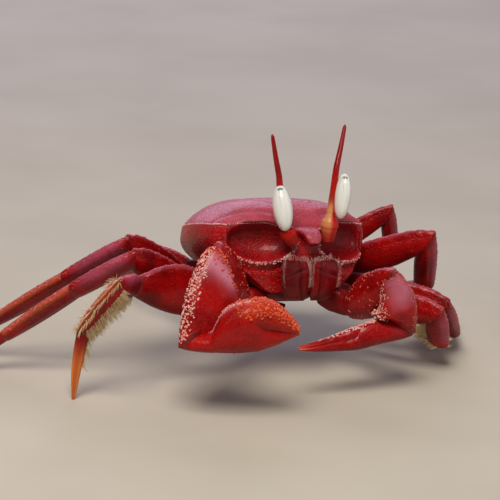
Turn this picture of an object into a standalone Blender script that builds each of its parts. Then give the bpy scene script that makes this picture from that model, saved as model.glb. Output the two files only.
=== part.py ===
"""A red ghost crab, life size, standing with both claws folded in front of its mouth.

Row frame: the crab faces -Y, its own right side is -X, up is +Z and the floor is z = 0.
Lengths are in millimetres until a mesh is written, which is in metres.
"""

from math import cos, pi, radians, sin, sqrt

import bpy
from mathutils import Euler, Matrix, Vector

# ---------------------------------------------------------------- driving dimensions
W = 44.0  # width of the carapace; the body tables are in widths
LIMB = 42.0  # the unit of the limb and eye tables
GAP = 0.3  # clearance between neighbouring solids
BODY_CENTRE = Vector((7.4, -6.9, 34.8))  # middle of the carapace, at the level of its side margins
BODY_PITCH = 15.0  # the front is raised
BODY_ROLL = 6.0  # the left side hangs lower
RIGHT, LEFT = -1, 1

SHELL_FRONT = -0.40  # where the carapace begins along its own y, in widths
FRONT_DIP = 0.045  # how far the front margin is bent down in its middle
ORBIT_CENTRE = (0.270, -0.088)  # middle of an eye hollow, across and up
ORBIT_RADII = (0.186, 0.115)
ORBIT_DEPTH = 0.120

# Each leg: root on the body (in widths, body axes), then per segment its length (in widths),
# its heading (degrees from +X towards +Y) and its pitch above the horizontal.
SEGMENTS = ("hip", "merus", "carpus", "propodus", "dactyl")
LEGS = {
    "leg2_right": ((-0.27, -0.14, -0.36), (0.21, 0.60, 0.24, 0.38, 0.38),
                  (-151, -180, -140, 124, -179), (-18, 20, 11, -53, -82)),
    "leg3_right": ((-0.28, 0.03, -0.34), (0.20, 0.57, 0.40, 0.52, 0.41),
                  (171, -164, 149, 145, 158), (-9, 31, -33, -38, -40)),
    "leg4_right": ((-0.27, 0.17, -0.32), (0.16, 0.61, 0.42, 0.54, 0.44),
                  (159, -163, 149, 140, 140), (-6, 33, -34, -36, -40)),
    "leg5_right": ((-0.22, 0.28, -0.29), (0.15, 0.46, 0.24, 0.36, 0.34),
                  (120, 98, 85, 75, 70), (2, -6, -28, -44, -56)),
    "leg2_left": ((0.27, -0.14, -0.36), (0.22, 0.56, 0.25, 0.38, 0.36),
                 (-22, -55, 44, 72, 38), (-17, -1, -58, -4, -27)),
    "leg3_left": ((0.28, 0.03, -0.34), (0.25, 0.66, 0.36, 0.52, 0.40),
                 (-12, -50, 43, 62, 60), (-4, -4, -44, -3, -10)),
    "leg4_left": ((0.27, 0.17, -0.32), (0.25, 0.67, 0.38, 0.52, 0.40),
                 (-9, -46, 55, 72, 68), (9, 23, -64, -20, -25)),
    "leg5_left": ((0.23, 0.28, -0.30), (0.24, 0.61, 0.24, 0.36, 0.34),
                 (12, -23, 28, 80, 85), (8, 32, -73, -40, -60)),
}
CLAWS = {
    "major": {"side": RIGHT, "root": (-0.20, -0.27, -0.41),
              "length": (0.18, 0.48, 0.44, 0.58), "heading": (-158, -144, -144, -30),
              "pitch": (3, 45, -55, 5)},
    "minor": {"side": LEFT, "root": (0.20, -0.28, -0.40),
              "length": (0.19, 0.44, 0.27, 0.66), "heading": (-37, -87, -17, 169),
              "pitch": (-16, 32, -66, -7)},
}

# Shape of a leg segment: height and thickness at both ends and in the middle, in widths.
LEG_SHAPE = {
    "hip": ((0.115, 0.13, 0.12), (0.10, 0.11, 0.10)),
    "merus": ((0.12, 0.20, 0.140), (0.085, 0.105, 0.085)),
    "carpus": ((0.135, 0.145, 0.13), (0.08, 0.09, 0.08)),
    "propodus": ((0.125, 0.13, 0.09), (0.075, 0.075, 0.06)),
    "dactyl": ((0.075, 0.062, 0.020), (0.055, 0.048, 0.018)),
}
LEG_GIRTH = {"leg2": 1.0, "leg3": 1.0, "leg4": 1.0, "leg5": 0.74}
BROAD = {"leg2_right": (0.15, 0.85)}  # how much deeper and taller its merus is in the middle


# ---------------------------------------------------------------- small helpers
def clean_scene():
    for old in list(bpy.data.objects):
        bpy.data.objects.remove(old, do_unlink=True)


def collection(name, cutters=False):
    made = bpy.data.collections.new(name)
    bpy.context.scene.collection.children.link(made)
    made.hide_render = cutters
    return made


def material(name, colour, roughness, metallic=0.0):
    made = bpy.data.materials.new(name)
    made.use_nodes = True
    shader = made.node_tree.nodes["Principled BSDF"]
    shader.inputs["Base Color"].default_value = (*colour, 1.0)
    shader.inputs["Roughness"].default_value = roughness
    shader.inputs["Metallic"].default_value = metallic
    made.diffuse_color = (*colour, 1.0)
    return made


def body_turn():
    """Turns body axes into the row frame: pitch first, then roll."""
    return Euler((0, radians(BODY_ROLL), 0)).to_matrix() @ Euler((radians(-BODY_PITCH), 0, 0)).to_matrix()


TURN = body_turn()


def on_body(x, y, z):
    """A point given in widths along the body's own axes, in row-frame millimetres."""
    return BODY_CENTRE + TURN @ Vector((x * W, y * W, z * W))


def direction(heading, pitch):
    h, p = radians(heading), radians(pitch)
    return Vector((cos(h) * cos(p), sin(h) * cos(p), sin(p)))


def blend(three, t):
    """A smooth curve through a start, a middle and an end value."""
    a, m, b = three
    return a * (1 - t) * (1 - 2 * t) + m * 4 * t * (1 - t) + b * t * (2 * t - 1)


def signed_power(value, power):
    return (abs(value) ** power) * (1 if value >= 0 else -1)


def mesh_object(name, points, faces, group, finish, smooth=True):
    mesh = bpy.data.meshes.new(name)
    mesh.from_pydata([tuple(p * 0.001) for p in points], [], faces)
    mesh.validate()
    mesh.update()
    made = bpy.data.objects.new(name, mesh)
    group.objects.link(made)
    if finish:
        mesh.materials.append(finish)
    if smooth:
        mesh.shade_smooth()
    return made


def skin(rings):
    """Points and faces of a closed body through rings of equal count."""
    count = len(rings[0])
    points = [p for ring in rings for p in ring]
    faces = [list(range(count))[::-1]]
    for r in range(len(rings) - 1):
        for i in range(count):
            j = (i + 1) % count
            faces.append((r * count + i, r * count + j, (r + 1) * count + j, (r + 1) * count + i))
    last = (len(rings) - 1) * count
    faces.append([last + i for i in range(count)])
    return points, faces


def outward(points, faces):
    """Turns the faces over if the body would be inside out."""
    volume = 0.0
    for face in faces:
        for k in range(1, len(face) - 1):
            volume += points[face[0]].dot(points[face[k]].cross(points[face[k + 1]]))
    return faces if volume > 0 else [tuple(reversed(face)) for face in faces]


def boolean(target, cutter, operation):
    step = target.modifiers.new(cutter.name, "BOOLEAN")
    step.operation, step.solver, step.object = operation, "EXACT", cutter


# ---------------------------------------------------------------- a limb segment
class Segment:
    """One shell tube from joint to joint, cut at each end on the plane that halves the bend."""

    def __init__(self, name, start, end, dorsal, before=None, after=None, fade=0.45):
        self.name, self.start, self.end, self.fade = name, start, end, fade
        self.axis = (end - start).normalized()
        self.length = (end - start).length
        self.dorsal = (dorsal - dorsal.dot(self.axis) * self.axis).normalized()
        self.side = self.axis.cross(self.dorsal)
        self.cuts = [self.cut(before), self.cut(after)]

    def cut(self, neighbour):
        if neighbour is None:
            return None
        return (self.axis + neighbour).normalized()

    def mitre(self, point, ring_centre, t):
        """Slides a point along the axis so that the end rings lie on the cutting planes."""
        moved = point.copy()
        for plane, weight, sign in (
            (self.cuts[0], max(0.0, 1 - t / self.fade), 1),
            (self.cuts[1], max(0.0, 1 - (1 - t) / 0.45), -1),
        ):
            if plane is None or weight == 0:
                continue
            off = point - ring_centre
            slope = plane.dot(self.axis)
            slide = -plane.dot(off) / slope + sign * GAP / 2 / slope
            limit = min(0.16 * LIMB, 0.25 * self.length)
            slide = max(-limit, slide) if sign > 0 else min(limit, slide)
            moved += self.axis * slide * weight
        return moved

    def ring(self, t, low, high, thick, sides, power=0.85, keel=0.0, bow=0.0):
        """Points of one section; low and high are measured along the dorsal direction."""
        centre = self.start + self.axis * self.length * t + self.dorsal * bow
        middle, half = (low + high) / 2, (high - low) / 2
        made = []
        for i in range(sides):
            angle = 2 * pi * i / sides
            up = signed_power(cos(angle), power)
            across = signed_power(sin(angle), power) * (1 - keel * max(0.0, up))
            point = centre + self.dorsal * (middle + half * up) + self.side * (thick / 2 * across)
            made.append(self.mitre(point, centre, t))
        return made


def end_round(t, length, radius, flat_start, flat_end):
    """How much a section shrinks near a rounded end."""
    value = 1.0
    for distance, flat in ((t * length, flat_start), ((1 - t) * length, flat_end)):
        if distance < radius:
            u = 1 - distance / radius
            value = min(value, sqrt(max(0.0, 1 - u * u * (1 - flat * flat))))
    return value


STEPS = (0.0, 0.035, 0.12, 0.32, 0.52, 0.72, 0.88, 0.965, 1.0)


def leg_joints(root, lengths, headings, pitches):
    joints = [on_body(*root)]
    for length, heading, pitch in zip(lengths, headings, pitches):
        joints.append(joints[-1] + direction(heading, pitch) * length * LIMB)
    return joints


def bend_plane(joints):
    """The dorsal side of each segment, from the plane in which the limb folds."""
    upper = (joints[2] - joints[1]).normalized()
    lower = (joints[-1] - joints[2]).normalized()
    normal = upper.cross(lower)
    if normal.length < 0.25:
        normal = upper.cross(Vector((0, 0, -1)))
    normal.normalize()
    return normal


def walking_leg(name, group, finish):
    root, lengths, headings, pitches = LEGS[name]
    joints = leg_joints(root, lengths, headings, pitches)
    drop = joints[-1].z
    joints[-1] = joints[-1] + Vector((0, 0, -drop))  # the tip stands on the floor
    normal = bend_plane(joints)
    girth = LEG_GIRTH[name[:4]] * LIMB
    axes = [(joints[i + 1] - joints[i]).normalized() for i in range(5)]
    for i, part in enumerate(SEGMENTS):
        dorsal = normal.cross(axes[i])
        if dorsal.z < 0 and i < 2:
            dorsal = Vector((0, 0, 1))
        piece = Segment(f"{name}_{part}", joints[i], joints[i + 1], dorsal,
                        axes[i - 1] if i else None, axes[i + 1] if i < 4 else None)
        tall, thick = LEG_SHAPE[part]
        deeper, taller = BROAD.get(name, (0.0, 0.0)) if part == "merus" else (0.0, 0.0)
        sides = 8 if part in ("hip", "dactyl") else 10
        steps = (0.0, 0.3, 0.75, 1.0) if part == "hip" else STEPS
        rings = []
        for t in steps:
            high = blend(tall, t) * girth / 2
            wide = blend(thick, t) * girth
            shrink = end_round(t, piece.length, 0.05 * LIMB, 0.72, 0.80 if part != "dactyl" else 1.0)
            bow = 0.02 * piece.length * sin(pi * t) if part == "dactyl" else 0.0
            keel = 0.35 if part == "merus" else 0.12
            low, top = -high * (1 + deeper * sin(pi * t)), high * (1 + taller * sin(pi * t))
            rings.append(piece.ring(t, low * shrink, top * shrink, wide * shrink, sides, 0.85, keel, bow))
        if part == "dactyl":  # the tip ends in a small flat at floor level
            for p in rings[-1]:
                p.z = 0.0
            for p in (p for ring in rings for p in ring):
                p.z = max(p.z, 0.0)
        points, faces = skin(rings)
        mesh_object(piece.name, points, outward(points, faces), group, finish)


# ---------------------------------------------------------------- claws
ARM_SHAPE = {
    "hip": ((0.13, 0.15, 0.14), (0.12, 0.13, 0.12)),
    "merus": ((0.15, 0.26, 0.19), (0.12, 0.16, 0.13)),
}
# Along a claw: station, lower edge, upper edge and thickness, as shares of its length.
CARPUS = {
    "major": ((0.0, -0.12, 0.11, 0.18), (0.06, -0.25, 0.19, 0.28), (0.22, -0.42, 0.27, 0.34),
              (0.45, -0.50, 0.29, 0.34), (0.68, -0.43, 0.27, 0.30), (0.88, -0.26, 0.23, 0.24),
              (1.0, -0.18, 0.17, 0.22)),
    "minor": ((0.0, -0.14, 0.14, 0.30), (0.10, -0.18, 0.30, 0.50), (0.35, -0.20, 0.45, 0.70),
              (0.60, -0.32, 0.42, 0.75), (0.82, -0.46, 0.32, 0.60), (1.0, -0.34, 0.20, 0.40)),
}
PALM = {
    "major": ((0.0, -0.10, 0.06, 0.18), (0.06, -0.14, 0.07, 0.25), (0.15, -0.165, 0.06, 0.31),
              (0.24, -0.175, 0.19, 0.34), (0.44, -0.18, 0.325, 0.38), (0.555, -0.178, 0.345, 0.36),
              (0.58, -0.175, 0.12, 0.34), (0.66, -0.155, 0.060, 0.31), (0.80, -0.115, 0.030, 0.24),
              (0.92, -0.065, 0.014, 0.14), (1.0, -0.03, 0.0, 0.05)),
    "minor": ((0.0, -0.06, 0.06, 0.07), (0.05, -0.10, 0.10, 0.11), (0.18, -0.12, 0.11, 0.15),
              (0.34, -0.125, 0.095, 0.16), (0.46, -0.13, 0.065, 0.15), (0.48, -0.13, -0.02, 0.14),
              (0.60, -0.12, -0.040, 0.12), (0.76, -0.10, -0.045, 0.09), (0.92, -0.07, -0.038, 0.06),
              (1.0, -0.045, -0.025, 0.02)),
}
FINGER = {
    "major": ((0.60, 0.14, 0.33, 0.26), (0.64, 0.09, 0.355, 0.31), (0.75, 0.058, 0.315, 0.28),
              (0.88, 0.036, 0.215, 0.20), (0.96, 0.026, 0.115, 0.12), (1.0, 0.022, 0.055, 0.06)),
    "minor": ((0.495, 0.0, 0.05, 0.10), (0.53, -0.018, 0.056, 0.12), (0.60, -0.026, 0.045, 0.11),
              (0.76, -0.032, 0.018, 0.085), (0.92, -0.025, 0.004, 0.055), (0.995, -0.014, -0.002, 0.02)),
}
HEEL = {"major": 0.15, "minor": 0.45}  # share of the palm that bends towards the wrist
CARPUS_OUTER = {"major": (-1.0, 0.0, 0.10), "minor": (0.85, -0.40, 0.20)}
CLAW_DORSAL = {"major": (-0.05, -0.05, 1.0), "minor": (-0.10, 0.55, 1.0)}


def table_rings(piece, rows, scale, sides, power):
    return [piece.ring(t, low * scale, high * scale, thick * scale, sides, power)
            for t, low, high, thick in rows]


def claw(name, group, finish):
    spec = CLAWS[name]
    joints = leg_joints(spec["root"], spec["length"], spec["heading"], spec["pitch"])
    axes = [(joints[i + 1] - joints[i]).normalized() for i in range(4)]
    side = "right" if spec["side"] == RIGHT else "left"
    up = Vector((0, 0, 1))
    for i, part in enumerate(("hip", "merus")):
        piece = Segment(f"claw_{side}_{part}", joints[i], joints[i + 1], up,
                        axes[i - 1] if i else None, axes[i + 1])
        tall, thick = ARM_SHAPE[part]
        rings = []
        for t in ((0.0, 0.3, 0.75, 1.0) if part == "hip" else STEPS):
            shrink = end_round(t, piece.length, 0.06 * LIMB, 0.7, 0.7)
            high = blend(tall, t) * LIMB / 2 * shrink
            rings.append(piece.ring(t, -high, high, blend(thick, t) * LIMB * shrink, 10, 0.8, 0.2))
        points, faces = skin(rings)
        mesh_object(piece.name, points, outward(points, faces), group, finish)
    outer = Vector(CARPUS_OUTER[name])
    piece = Segment(f"claw_{side}_carpus", joints[2], joints[3], outer, axes[1], axes[3])
    points, faces = skin(table_rings(piece, CARPUS[name], piece.length, 12, 0.8))
    mesh_object(piece.name, points, outward(points, faces), group, finish)
    palm = Segment(f"claw_{side}_palm", joints[3], joints[4], Vector(CLAW_DORSAL[name]), axes[2], None,
                   HEEL[name])
    points, faces = skin(table_rings(palm, PALM[name], palm.length, 12, 0.85))
    mesh_object(palm.name, points, outward(points, faces), group, finish)
    finger = Segment(f"claw_{side}_finger", joints[3], joints[4], Vector(CLAW_DORSAL[name]))
    points, faces = skin(table_rings(finger, FINGER[name], finger.length, 10, 0.85))
    mesh_object(finger.name, points, outward(points, faces), group, finish)


# ---------------------------------------------------------------- carapace
# Stations along the body's y (widths): half width at the margin, margin height,
# dome rise, depth of the side wall, half width at its lower edge.
SHELL = (
    (-0.400, 0.452, 0.008, 0.012, 0.388, 0.20),
    (-0.365, 0.470, 0.010, 0.055, 0.385, 0.22),
    (-0.310, 0.485, 0.008, 0.102, 0.345, 0.25),
    (-0.240, 0.495, 0.006, 0.130, 0.285, 0.31),
    (-0.130, 0.500, 0.004, 0.145, 0.255, 0.36),
    (0.000, 0.494, -0.002, 0.150, 0.245, 0.375),
    (0.140, 0.470, -0.012, 0.142, 0.230, 0.355),
    (0.270, 0.415, -0.032, 0.122, 0.205, 0.30),
    (0.370, 0.335, -0.060, 0.092, 0.170, 0.23),
    (0.425, 0.265, -0.085, 0.056, 0.130, 0.18),
    (0.440, 0.225, -0.100, 0.028, 0.090, 0.15),
)
ACROSS, DOWN = 18, 5  # steps across the back and the face, and down the side walls


def front_edge(x):
    """How far the front margin is set back at x, in widths: foremost at the middle, least at the corners."""
    return 0.150 * (abs(x) / 0.47) ** 2 - 0.045


def near_front(row):
    """1 at the front margin, 0 behind the front region."""
    return max(0.0, 1 - (row[0] - SHELL_FRONT) / 0.15)


def lean(row, x, s):
    """How far the front of the shell leans back at a share s of its height."""
    return near_front(row) * (front_edge(x) * (1 - s) + 0.02 * s)


def dip(row, x):
    """How far the front of the back is bent down at x."""
    return near_front(row) * FRONT_DIP * max(0.0, 1 - (x / 0.24) ** 2)


def shell_section(row):
    y, half, level, rise, depth, foot = row
    back = [half * (-1 + 2 * i / ACROSS) for i in range(ACROSS + 1)]
    made = [(x, y + lean(row, x, 0), level + rise * (1 - abs(x / half) ** 4.0) - dip(row, x)) for x in back]
    wall = []
    for i in range(1, DOWN + 1):  # down the left wall
        s = i / DOWN
        wall.append((half + (foot - half) * s ** 2, y + lean(row, half, s), level - depth * s))
    made += wall
    made += [(foot * (1 - 2 * i / ACROSS), y + lean(row, 0, 1), level - depth) for i in range(1, ACROSS)]
    made += [(-x, y_, z) for x, y_, z in reversed(wall)]
    return made


def hollow(x, z):
    """How far the face is sunk at a point: an oval eye hollow on each side."""
    across, up = (abs(x) - ORBIT_CENTRE[0]) / ORBIT_RADII[0], (z - ORBIT_CENTRE[1]) / ORBIT_RADII[1]
    return ORBIT_DEPTH * max(0.0, 1 - across ** 2 - up ** 2) ** 0.6


def face_grid():
    """Inner points of the face, row by row downwards, between the margin and the lower edge."""
    y, half, level, rise, depth, foot = SHELL[0]
    rows = []
    for j in range(1, DOWN):
        v = j / DOWN
        width = half + (foot - half) * v ** 2
        row = []
        for i in range(1, ACROSS):
            u = -1 + 2 * i / ACROSS
            x = u * width
            z = level + (rise * (1 - abs(u) ** 4.0) - dip(SHELL[0], x)) * (1 - v) - depth * v
            forward = 0.030 * (1 - u * u) * sin(pi * v)
            row.append((x, y + lean(SHELL[0], x, v) - forward + hollow(x, z), z))
        rows.append(row)
    return rows


def shell_mesh():
    """Points and faces of the carapace: sections from front to rear, closed by the face grid."""
    rings = [shell_section(row) for row in SHELL]
    count = len(rings[0])
    points = [p for ring in rings for p in ring]
    faces = []
    for r in range(len(rings) - 1):
        for i in range(count):
            j = (i + 1) % count
            faces.append((r * count + i, r * count + j, (r + 1) * count + j, (r + 1) * count + i))
    last = (len(rings) - 1) * count
    faces.append([last + i for i in range(count)])
    inner = len(points)
    for row in face_grid():
        points += row

    def index(i, j):
        """Index of the face point in column i and row j; the rim belongs to the first section."""
        if j == 0:
            return i
        if i == ACROSS:
            return ACROSS + j
        if j == DOWN:
            return ACROSS + DOWN + (ACROSS - i)
        if i == 0:
            return (count - j) % count
        return inner + (j - 1) * (ACROSS - 1) + i - 1

    for j in range(DOWN):
        for i in range(ACROSS):
            faces.append((index(i, j), index(i, j + 1), index(i + 1, j + 1), index(i + 1, j)))
    return [on_body(*p) for p in points], faces


def ellipsoid(name, centre, radii, group, finish, around=16, down=8, frame=None):
    frame = frame or TURN
    rings = []
    for j in range(1, down):
        lat = pi * j / down
        rings.append([centre + frame @ Vector((radii[0] * sin(lat) * cos(2 * pi * i / around),
                                               radii[1] * sin(lat) * sin(2 * pi * i / around),
                                               radii[2] * cos(lat))) for i in range(around)])
    points = [p for ring in rings for p in ring]
    top, bottom = len(points), len(points) + 1
    points += [centre + frame @ Vector((0, 0, radii[2])), centre - frame @ Vector((0, 0, radii[2]))]
    faces = []
    for i in range(around):
        j = (i + 1) % around
        faces.append((top, i, j))
        faces.append((bottom, (down - 2) * around + j, (down - 2) * around + i))
        for r in range(down - 2):
            faces.append((r * around + i, (r + 1) * around + i, (r + 1) * around + j, r * around + j))
    return mesh_object(name, points, outward(points, faces), group, finish)


def carapace(group, cutters, finish):
    points, faces = shell_mesh()
    shell = mesh_object("carapace", points, outward(points, faces), group, finish)
    rows = ((-0.36, 0.120, 0.006, 0.050), (-0.43, 0.085, -0.010, 0.045), (-0.475, 0.060, -0.022, 0.040),
            (-0.505, 0.052, -0.044, 0.036), (-0.520, 0.046, -0.070, 0.032), (-0.522, 0.034, -0.092, 0.026))
    rings = []
    for y, half, top, thick in rows:  # the narrow front, bent down between the eyes
        round_it = [2 * pi * i / 10 for i in range(10)]
        rings.append([on_body(half * cos(a), y + (y + 0.36) * 0.14 * sin(a), top + thick / 2 * (sin(a) - 1))
                      for a in round_it])
    points, faces = skin(rings)
    front = mesh_object("front_join", points, outward(points, faces), cutters, None)
    front.display_type = "WIRE"
    boolean(shell, front, "UNION")


# ---------------------------------------------------------------- underside and mouth
def body_loft(name, rows, group, finish, sides=12, power=0.7):
    """Rows along the body's y: station, centre x, half width, lower and upper level, in widths."""
    rings = []
    for y, x, half, low, high in rows:
        ring = []
        for i in range(sides):
            a = 2 * pi * i / sides
            ring.append(on_body(x + half * signed_power(cos(a), power), y,
                                (low + high) / 2 + (high - low) / 2 * signed_power(sin(a), power)))
        rings.append(ring)
    points, faces = skin(rings)
    return mesh_object(name, points, outward(points, faces), group, finish)


def underside(group, finish):
    body_loft("sternum", ((-0.285, 0, 0.10, -0.42, -0.33), (-0.24, 0, 0.17, -0.44, -0.32),
                          (-0.12, 0, 0.235, -0.445, -0.268), (0.03, 0, 0.245, -0.43, -0.262),
                          (0.17, 0, 0.235, -0.40, -0.265), (0.28, 0, 0.19, -0.36, -0.27),
                          (0.34, 0, 0.13, -0.33, -0.28)), group, finish)
    body_loft("pleon", ((-0.16, 0, 0.035, -0.485, -0.455), (-0.05, 0, 0.065, -0.485, -0.450),
                        (0.08, 0, 0.085, -0.465, -0.432), (0.22, 0, 0.105, -0.430, -0.398),
                        (0.33, 0, 0.115, -0.385, -0.350)), group, finish, 10)


def maxilliped(side, group, finish):
    """The outer mouth plate of one side: tall, flat, meeting its fellow at the middle."""
    rows = ((-0.185, 0.105, 0.045, 0.020), (-0.205, 0.100, 0.078, 0.045), (-0.26, 0.098, 0.090, 0.060),
            (-0.33, 0.094, 0.086, 0.060), (-0.395, 0.080, 0.070, 0.050), (-0.425, 0.068, 0.045, 0.025))
    rings = []
    for z, x, half, thick in rows:
        y = SHELL_FRONT - 0.060 + 0.06 * (-z) - GAP / W - thick / 2
        rings.append([on_body(side * (x + half * signed_power(cos(a), 0.8)),
                              y + thick / 2 * signed_power(sin(a), 0.8), z)
                      for a in [2 * pi * i / 12 for i in range(12)]])
    points, faces = skin(rings)
    tag = "right" if side == RIGHT else "left"
    return mesh_object(f"mouth_plate_{tag}", points, outward(points, faces), group, finish)


# ---------------------------------------------------------------- eyes
# Base on the body in widths; the rest in millimetres from the middle of the carapace.
EYES = {
    RIGHT: {"base": (-0.108, -0.485, -0.095), "foot": (-7.0, -21.2, 5.4), "top": (-7.0, -17.2, 15.9),
            "tip": (-8.9, -15.4, 28.5), "swell": (-0.5, -1.7)},
    LEFT: {"base": (0.112, -0.485, -0.090), "foot": (5.6, -21.4, 6.9), "top": (7.6, -19.4, 17.8),
           "tip": (12.1, -15.2, 29.1), "swell": (1.80, -1.50)},
}
CORNEA_RADIUS, CORNEA_LONG = 0.058, 0.134
STALK_RADII = (0.050, 0.040, 0.026, 0.024, 0.022, 0.020, 0.016, 0.0115)


def tube(name, path, radii, group, finish, sides=8):
    rings = []
    for k, centre in enumerate(path):
        ahead = (path[min(k + 1, len(path) - 1)] - path[max(k - 1, 0)]).normalized()
        u = ahead.cross(Vector((0, 1, 0.2))).normalized()
        v = ahead.cross(u)
        rings.append([centre + (u * cos(2 * pi * i / sides) + v * sin(2 * pi * i / sides)) * radii[k]
                      for i in range(sides)])
    points, faces = skin(rings)
    return mesh_object(name, points, outward(points, faces), group, finish)


def eye(side, group, cutters, stalk_finish, cornea_finish):
    spec = EYES[side]
    tag = "right" if side == RIGHT else "left"
    base = on_body(*spec["base"])
    foot, top, tip = (BODY_CENTRE + Vector(spec[end]) for end in ("foot", "top", "tip"))
    path = [base, base.lerp(foot, 0.75), foot.lerp(top, 0.1), foot.lerp(top, 0.4), foot.lerp(top, 0.75),
            top + (top - foot).normalized() * 0.8, top.lerp(tip, 0.55), tip]
    tube(f"eyestalk_{tag}", path, [r * LIMB for r in STALK_RADII], group, stalk_finish)
    groove = tube(f"groove_cut_{tag}", path, [r * LIMB + GAP for r in STALK_RADII], cutters, None)
    groove.display_type = "WIRE"
    middle = foot.lerp(top, 0.5) + Vector((*spec["swell"], 0))
    long = (top - foot).normalized()
    wide = long.cross(Vector((0, -1, 0))).normalized()
    frame = Matrix((wide, long.cross(wide), long)).transposed()
    radii = (CORNEA_RADIUS * LIMB, CORNEA_RADIUS * LIMB, CORNEA_LONG * LIMB)
    cornea = ellipsoid(f"cornea_{tag}", middle, radii, group, cornea_finish, 14, 9, frame)
    boolean(cornea, groove, "DIFFERENCE")


# ---------------------------------------------------------------- the whole animal
def main():
    clean_scene()
    body = collection("red_ghost_crab")
    cutters = collection("cutters", cutters=True)
    shell = material("shell_red", (0.42, 0.012, 0.012), 0.32)
    under = material("underside_red", (0.30, 0.012, 0.016), 0.40)
    limb = material("limb_red", (0.40, 0.012, 0.010), 0.34)
    stalk = material("stalk_red", (0.34, 0.03, 0.015), 0.36)
    white = material("cornea_white", (0.80, 0.83, 0.78), 0.18)
    carapace(body, cutters, shell)
    underside(body, under)
    for side in (RIGHT, LEFT):
        maxilliped(side, body, under)
        eye(side, body, cutters, stalk, white)
    for name in CLAWS:
        claw(name, body, limb)
    for name in LEGS:
        walking_leg(name, body, limb)


main()
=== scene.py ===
"""Looks of a life-size red ghost crab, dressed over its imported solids.

The crab faces -Y, its own right side is -X, up is +Z and the floor is z = 0.
Shapes are worked out in millimetres and written to meshes in metres.
"""

from __future__ import annotations

import logging
from dataclasses import dataclass, field
from enum import Enum
from functools import partial
from math import cos, pi, radians, sin
from typing import Callable, Mapping, Sequence

import bpy
import numpy as np
from mathutils import Matrix, Vector

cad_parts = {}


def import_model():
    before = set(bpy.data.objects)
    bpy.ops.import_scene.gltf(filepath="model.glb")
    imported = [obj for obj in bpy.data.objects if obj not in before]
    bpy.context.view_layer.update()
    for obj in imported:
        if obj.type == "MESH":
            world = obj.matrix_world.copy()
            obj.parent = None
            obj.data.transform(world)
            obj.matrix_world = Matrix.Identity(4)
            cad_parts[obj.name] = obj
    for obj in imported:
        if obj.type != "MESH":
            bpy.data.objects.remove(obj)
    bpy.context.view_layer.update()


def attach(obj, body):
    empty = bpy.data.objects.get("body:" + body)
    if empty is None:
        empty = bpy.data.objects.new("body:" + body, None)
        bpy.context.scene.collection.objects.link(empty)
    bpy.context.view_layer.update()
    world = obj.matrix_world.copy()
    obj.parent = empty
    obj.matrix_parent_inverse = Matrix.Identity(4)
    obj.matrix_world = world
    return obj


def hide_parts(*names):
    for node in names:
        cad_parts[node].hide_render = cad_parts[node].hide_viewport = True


Array = np.ndarray
Relief = Callable[[Array, Array], Array]
Profile = Callable[[Array], Array]
Span = tuple[float, float]
Point = tuple[float, float, float]

LOG = logging.getLogger("ghost_crab")
MM = 0.001
WIDTH = 44.0  # width of the carapace; body tables are in widths
LIMB = 42.0  # the unit of the limb and eye tables
GAP = 0.3  # clearance between the mouth plates and the face
SEAM = 0.03  # the fine line left between two limb pieces
BAKE_PATCH = 0.003  # how wide each bead or bristle is on the unwrap
SIDEWAYS = 0.08  # how unevenly bristles lie


class Side(Enum):
    """The crab's own sides, as the sign of x."""

    RIGHT = -1
    LEFT = 1


# ---------------------------------------------------------------- numbers
def unit(vector: Array) -> Array:
    """The vector made one long, along its last axis."""
    vector = np.asarray(vector, float)
    return vector / np.maximum(np.linalg.norm(vector, axis=-1, keepdims=True), 1e-9)


def through(stations: Sequence[float], values: Sequence[float], at: Array) -> Array:
    """A smooth curve through given values that never overshoots them.

    Args:
        stations: where the values hold, rising.
        values: the values there.
        at: where to read the curve.

    Returns:
        The curve's values.
    """
    xs, ys = np.asarray(stations, float), np.asarray(values, float)
    step = np.diff(xs)
    slope = np.diff(ys) / step
    tangent = np.zeros_like(ys)
    before, after = slope[:-1], slope[1:]
    same = before * after > 0
    tangent[1:-1] = np.where(same, 2 * before * after / np.where(same, before + after, 1), 0)
    tangent[0], tangent[-1] = slope[0], slope[-1]
    at = np.asarray(at, float)
    i = np.clip(np.searchsorted(xs, at, side="right") - 1, 0, len(xs) - 2)
    s = np.clip((at - xs[i]) / step[i], 0, 1)
    rise = s * s * (3 - 2 * s)
    bend = step[i] * (s * (1 - s) ** 2 * tangent[i] + s * s * (s - 1) * tangent[i + 1])
    return ys[i] * (1 - rise) + ys[i + 1] * rise + bend


def ramp(value: Array, low: float, high: float) -> Array:
    """0 below low, 1 above high and a smooth step between; low may be the larger."""
    s = np.clip((np.asarray(value, float) - low) / (high - low), 0, 1)
    return s * s * (3 - 2 * s)


def bump(value: Array, middle: float, width: float) -> Array:
    """A bell of height 1 round the middle."""
    return np.exp(-(((np.asarray(value, float) - middle) / width) ** 2))


def arch(t: Array) -> Array:
    """0 at both ends of a part and 1 in its middle."""
    return np.sin(pi * np.clip(t, 0, 1))


def upward(a: Array, low: float, high: float) -> Array:
    """A ramp on how far an angle round a part looks towards its dorsal edge."""
    return ramp(np.cos(a), low, high)


def power_wave(wave: Array, power: float) -> Array:
    """A sine or cosine squared off by a power, with its sign kept."""
    return np.sign(wave) * np.abs(wave) ** power


def stacked(x: Array, y: Array, z: Array) -> Array:
    """Points from three grids of coordinates, spread to one shape."""
    return np.stack(np.broadcast_arrays(x, y, z), axis=-1)


def angles(columns: int) -> Array:
    """Evenly spaced angles round a full turn."""
    return np.arange(columns) * 2 * pi / columns


def heading_vector(heading: float, pitch: float) -> Array:
    """The direction at a heading from +X towards +Y and a pitch above the horizontal, in degrees."""
    h, p = radians(heading), radians(pitch)
    return np.array([cos(h) * cos(p), sin(h) * cos(p), sin(p)])


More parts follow.
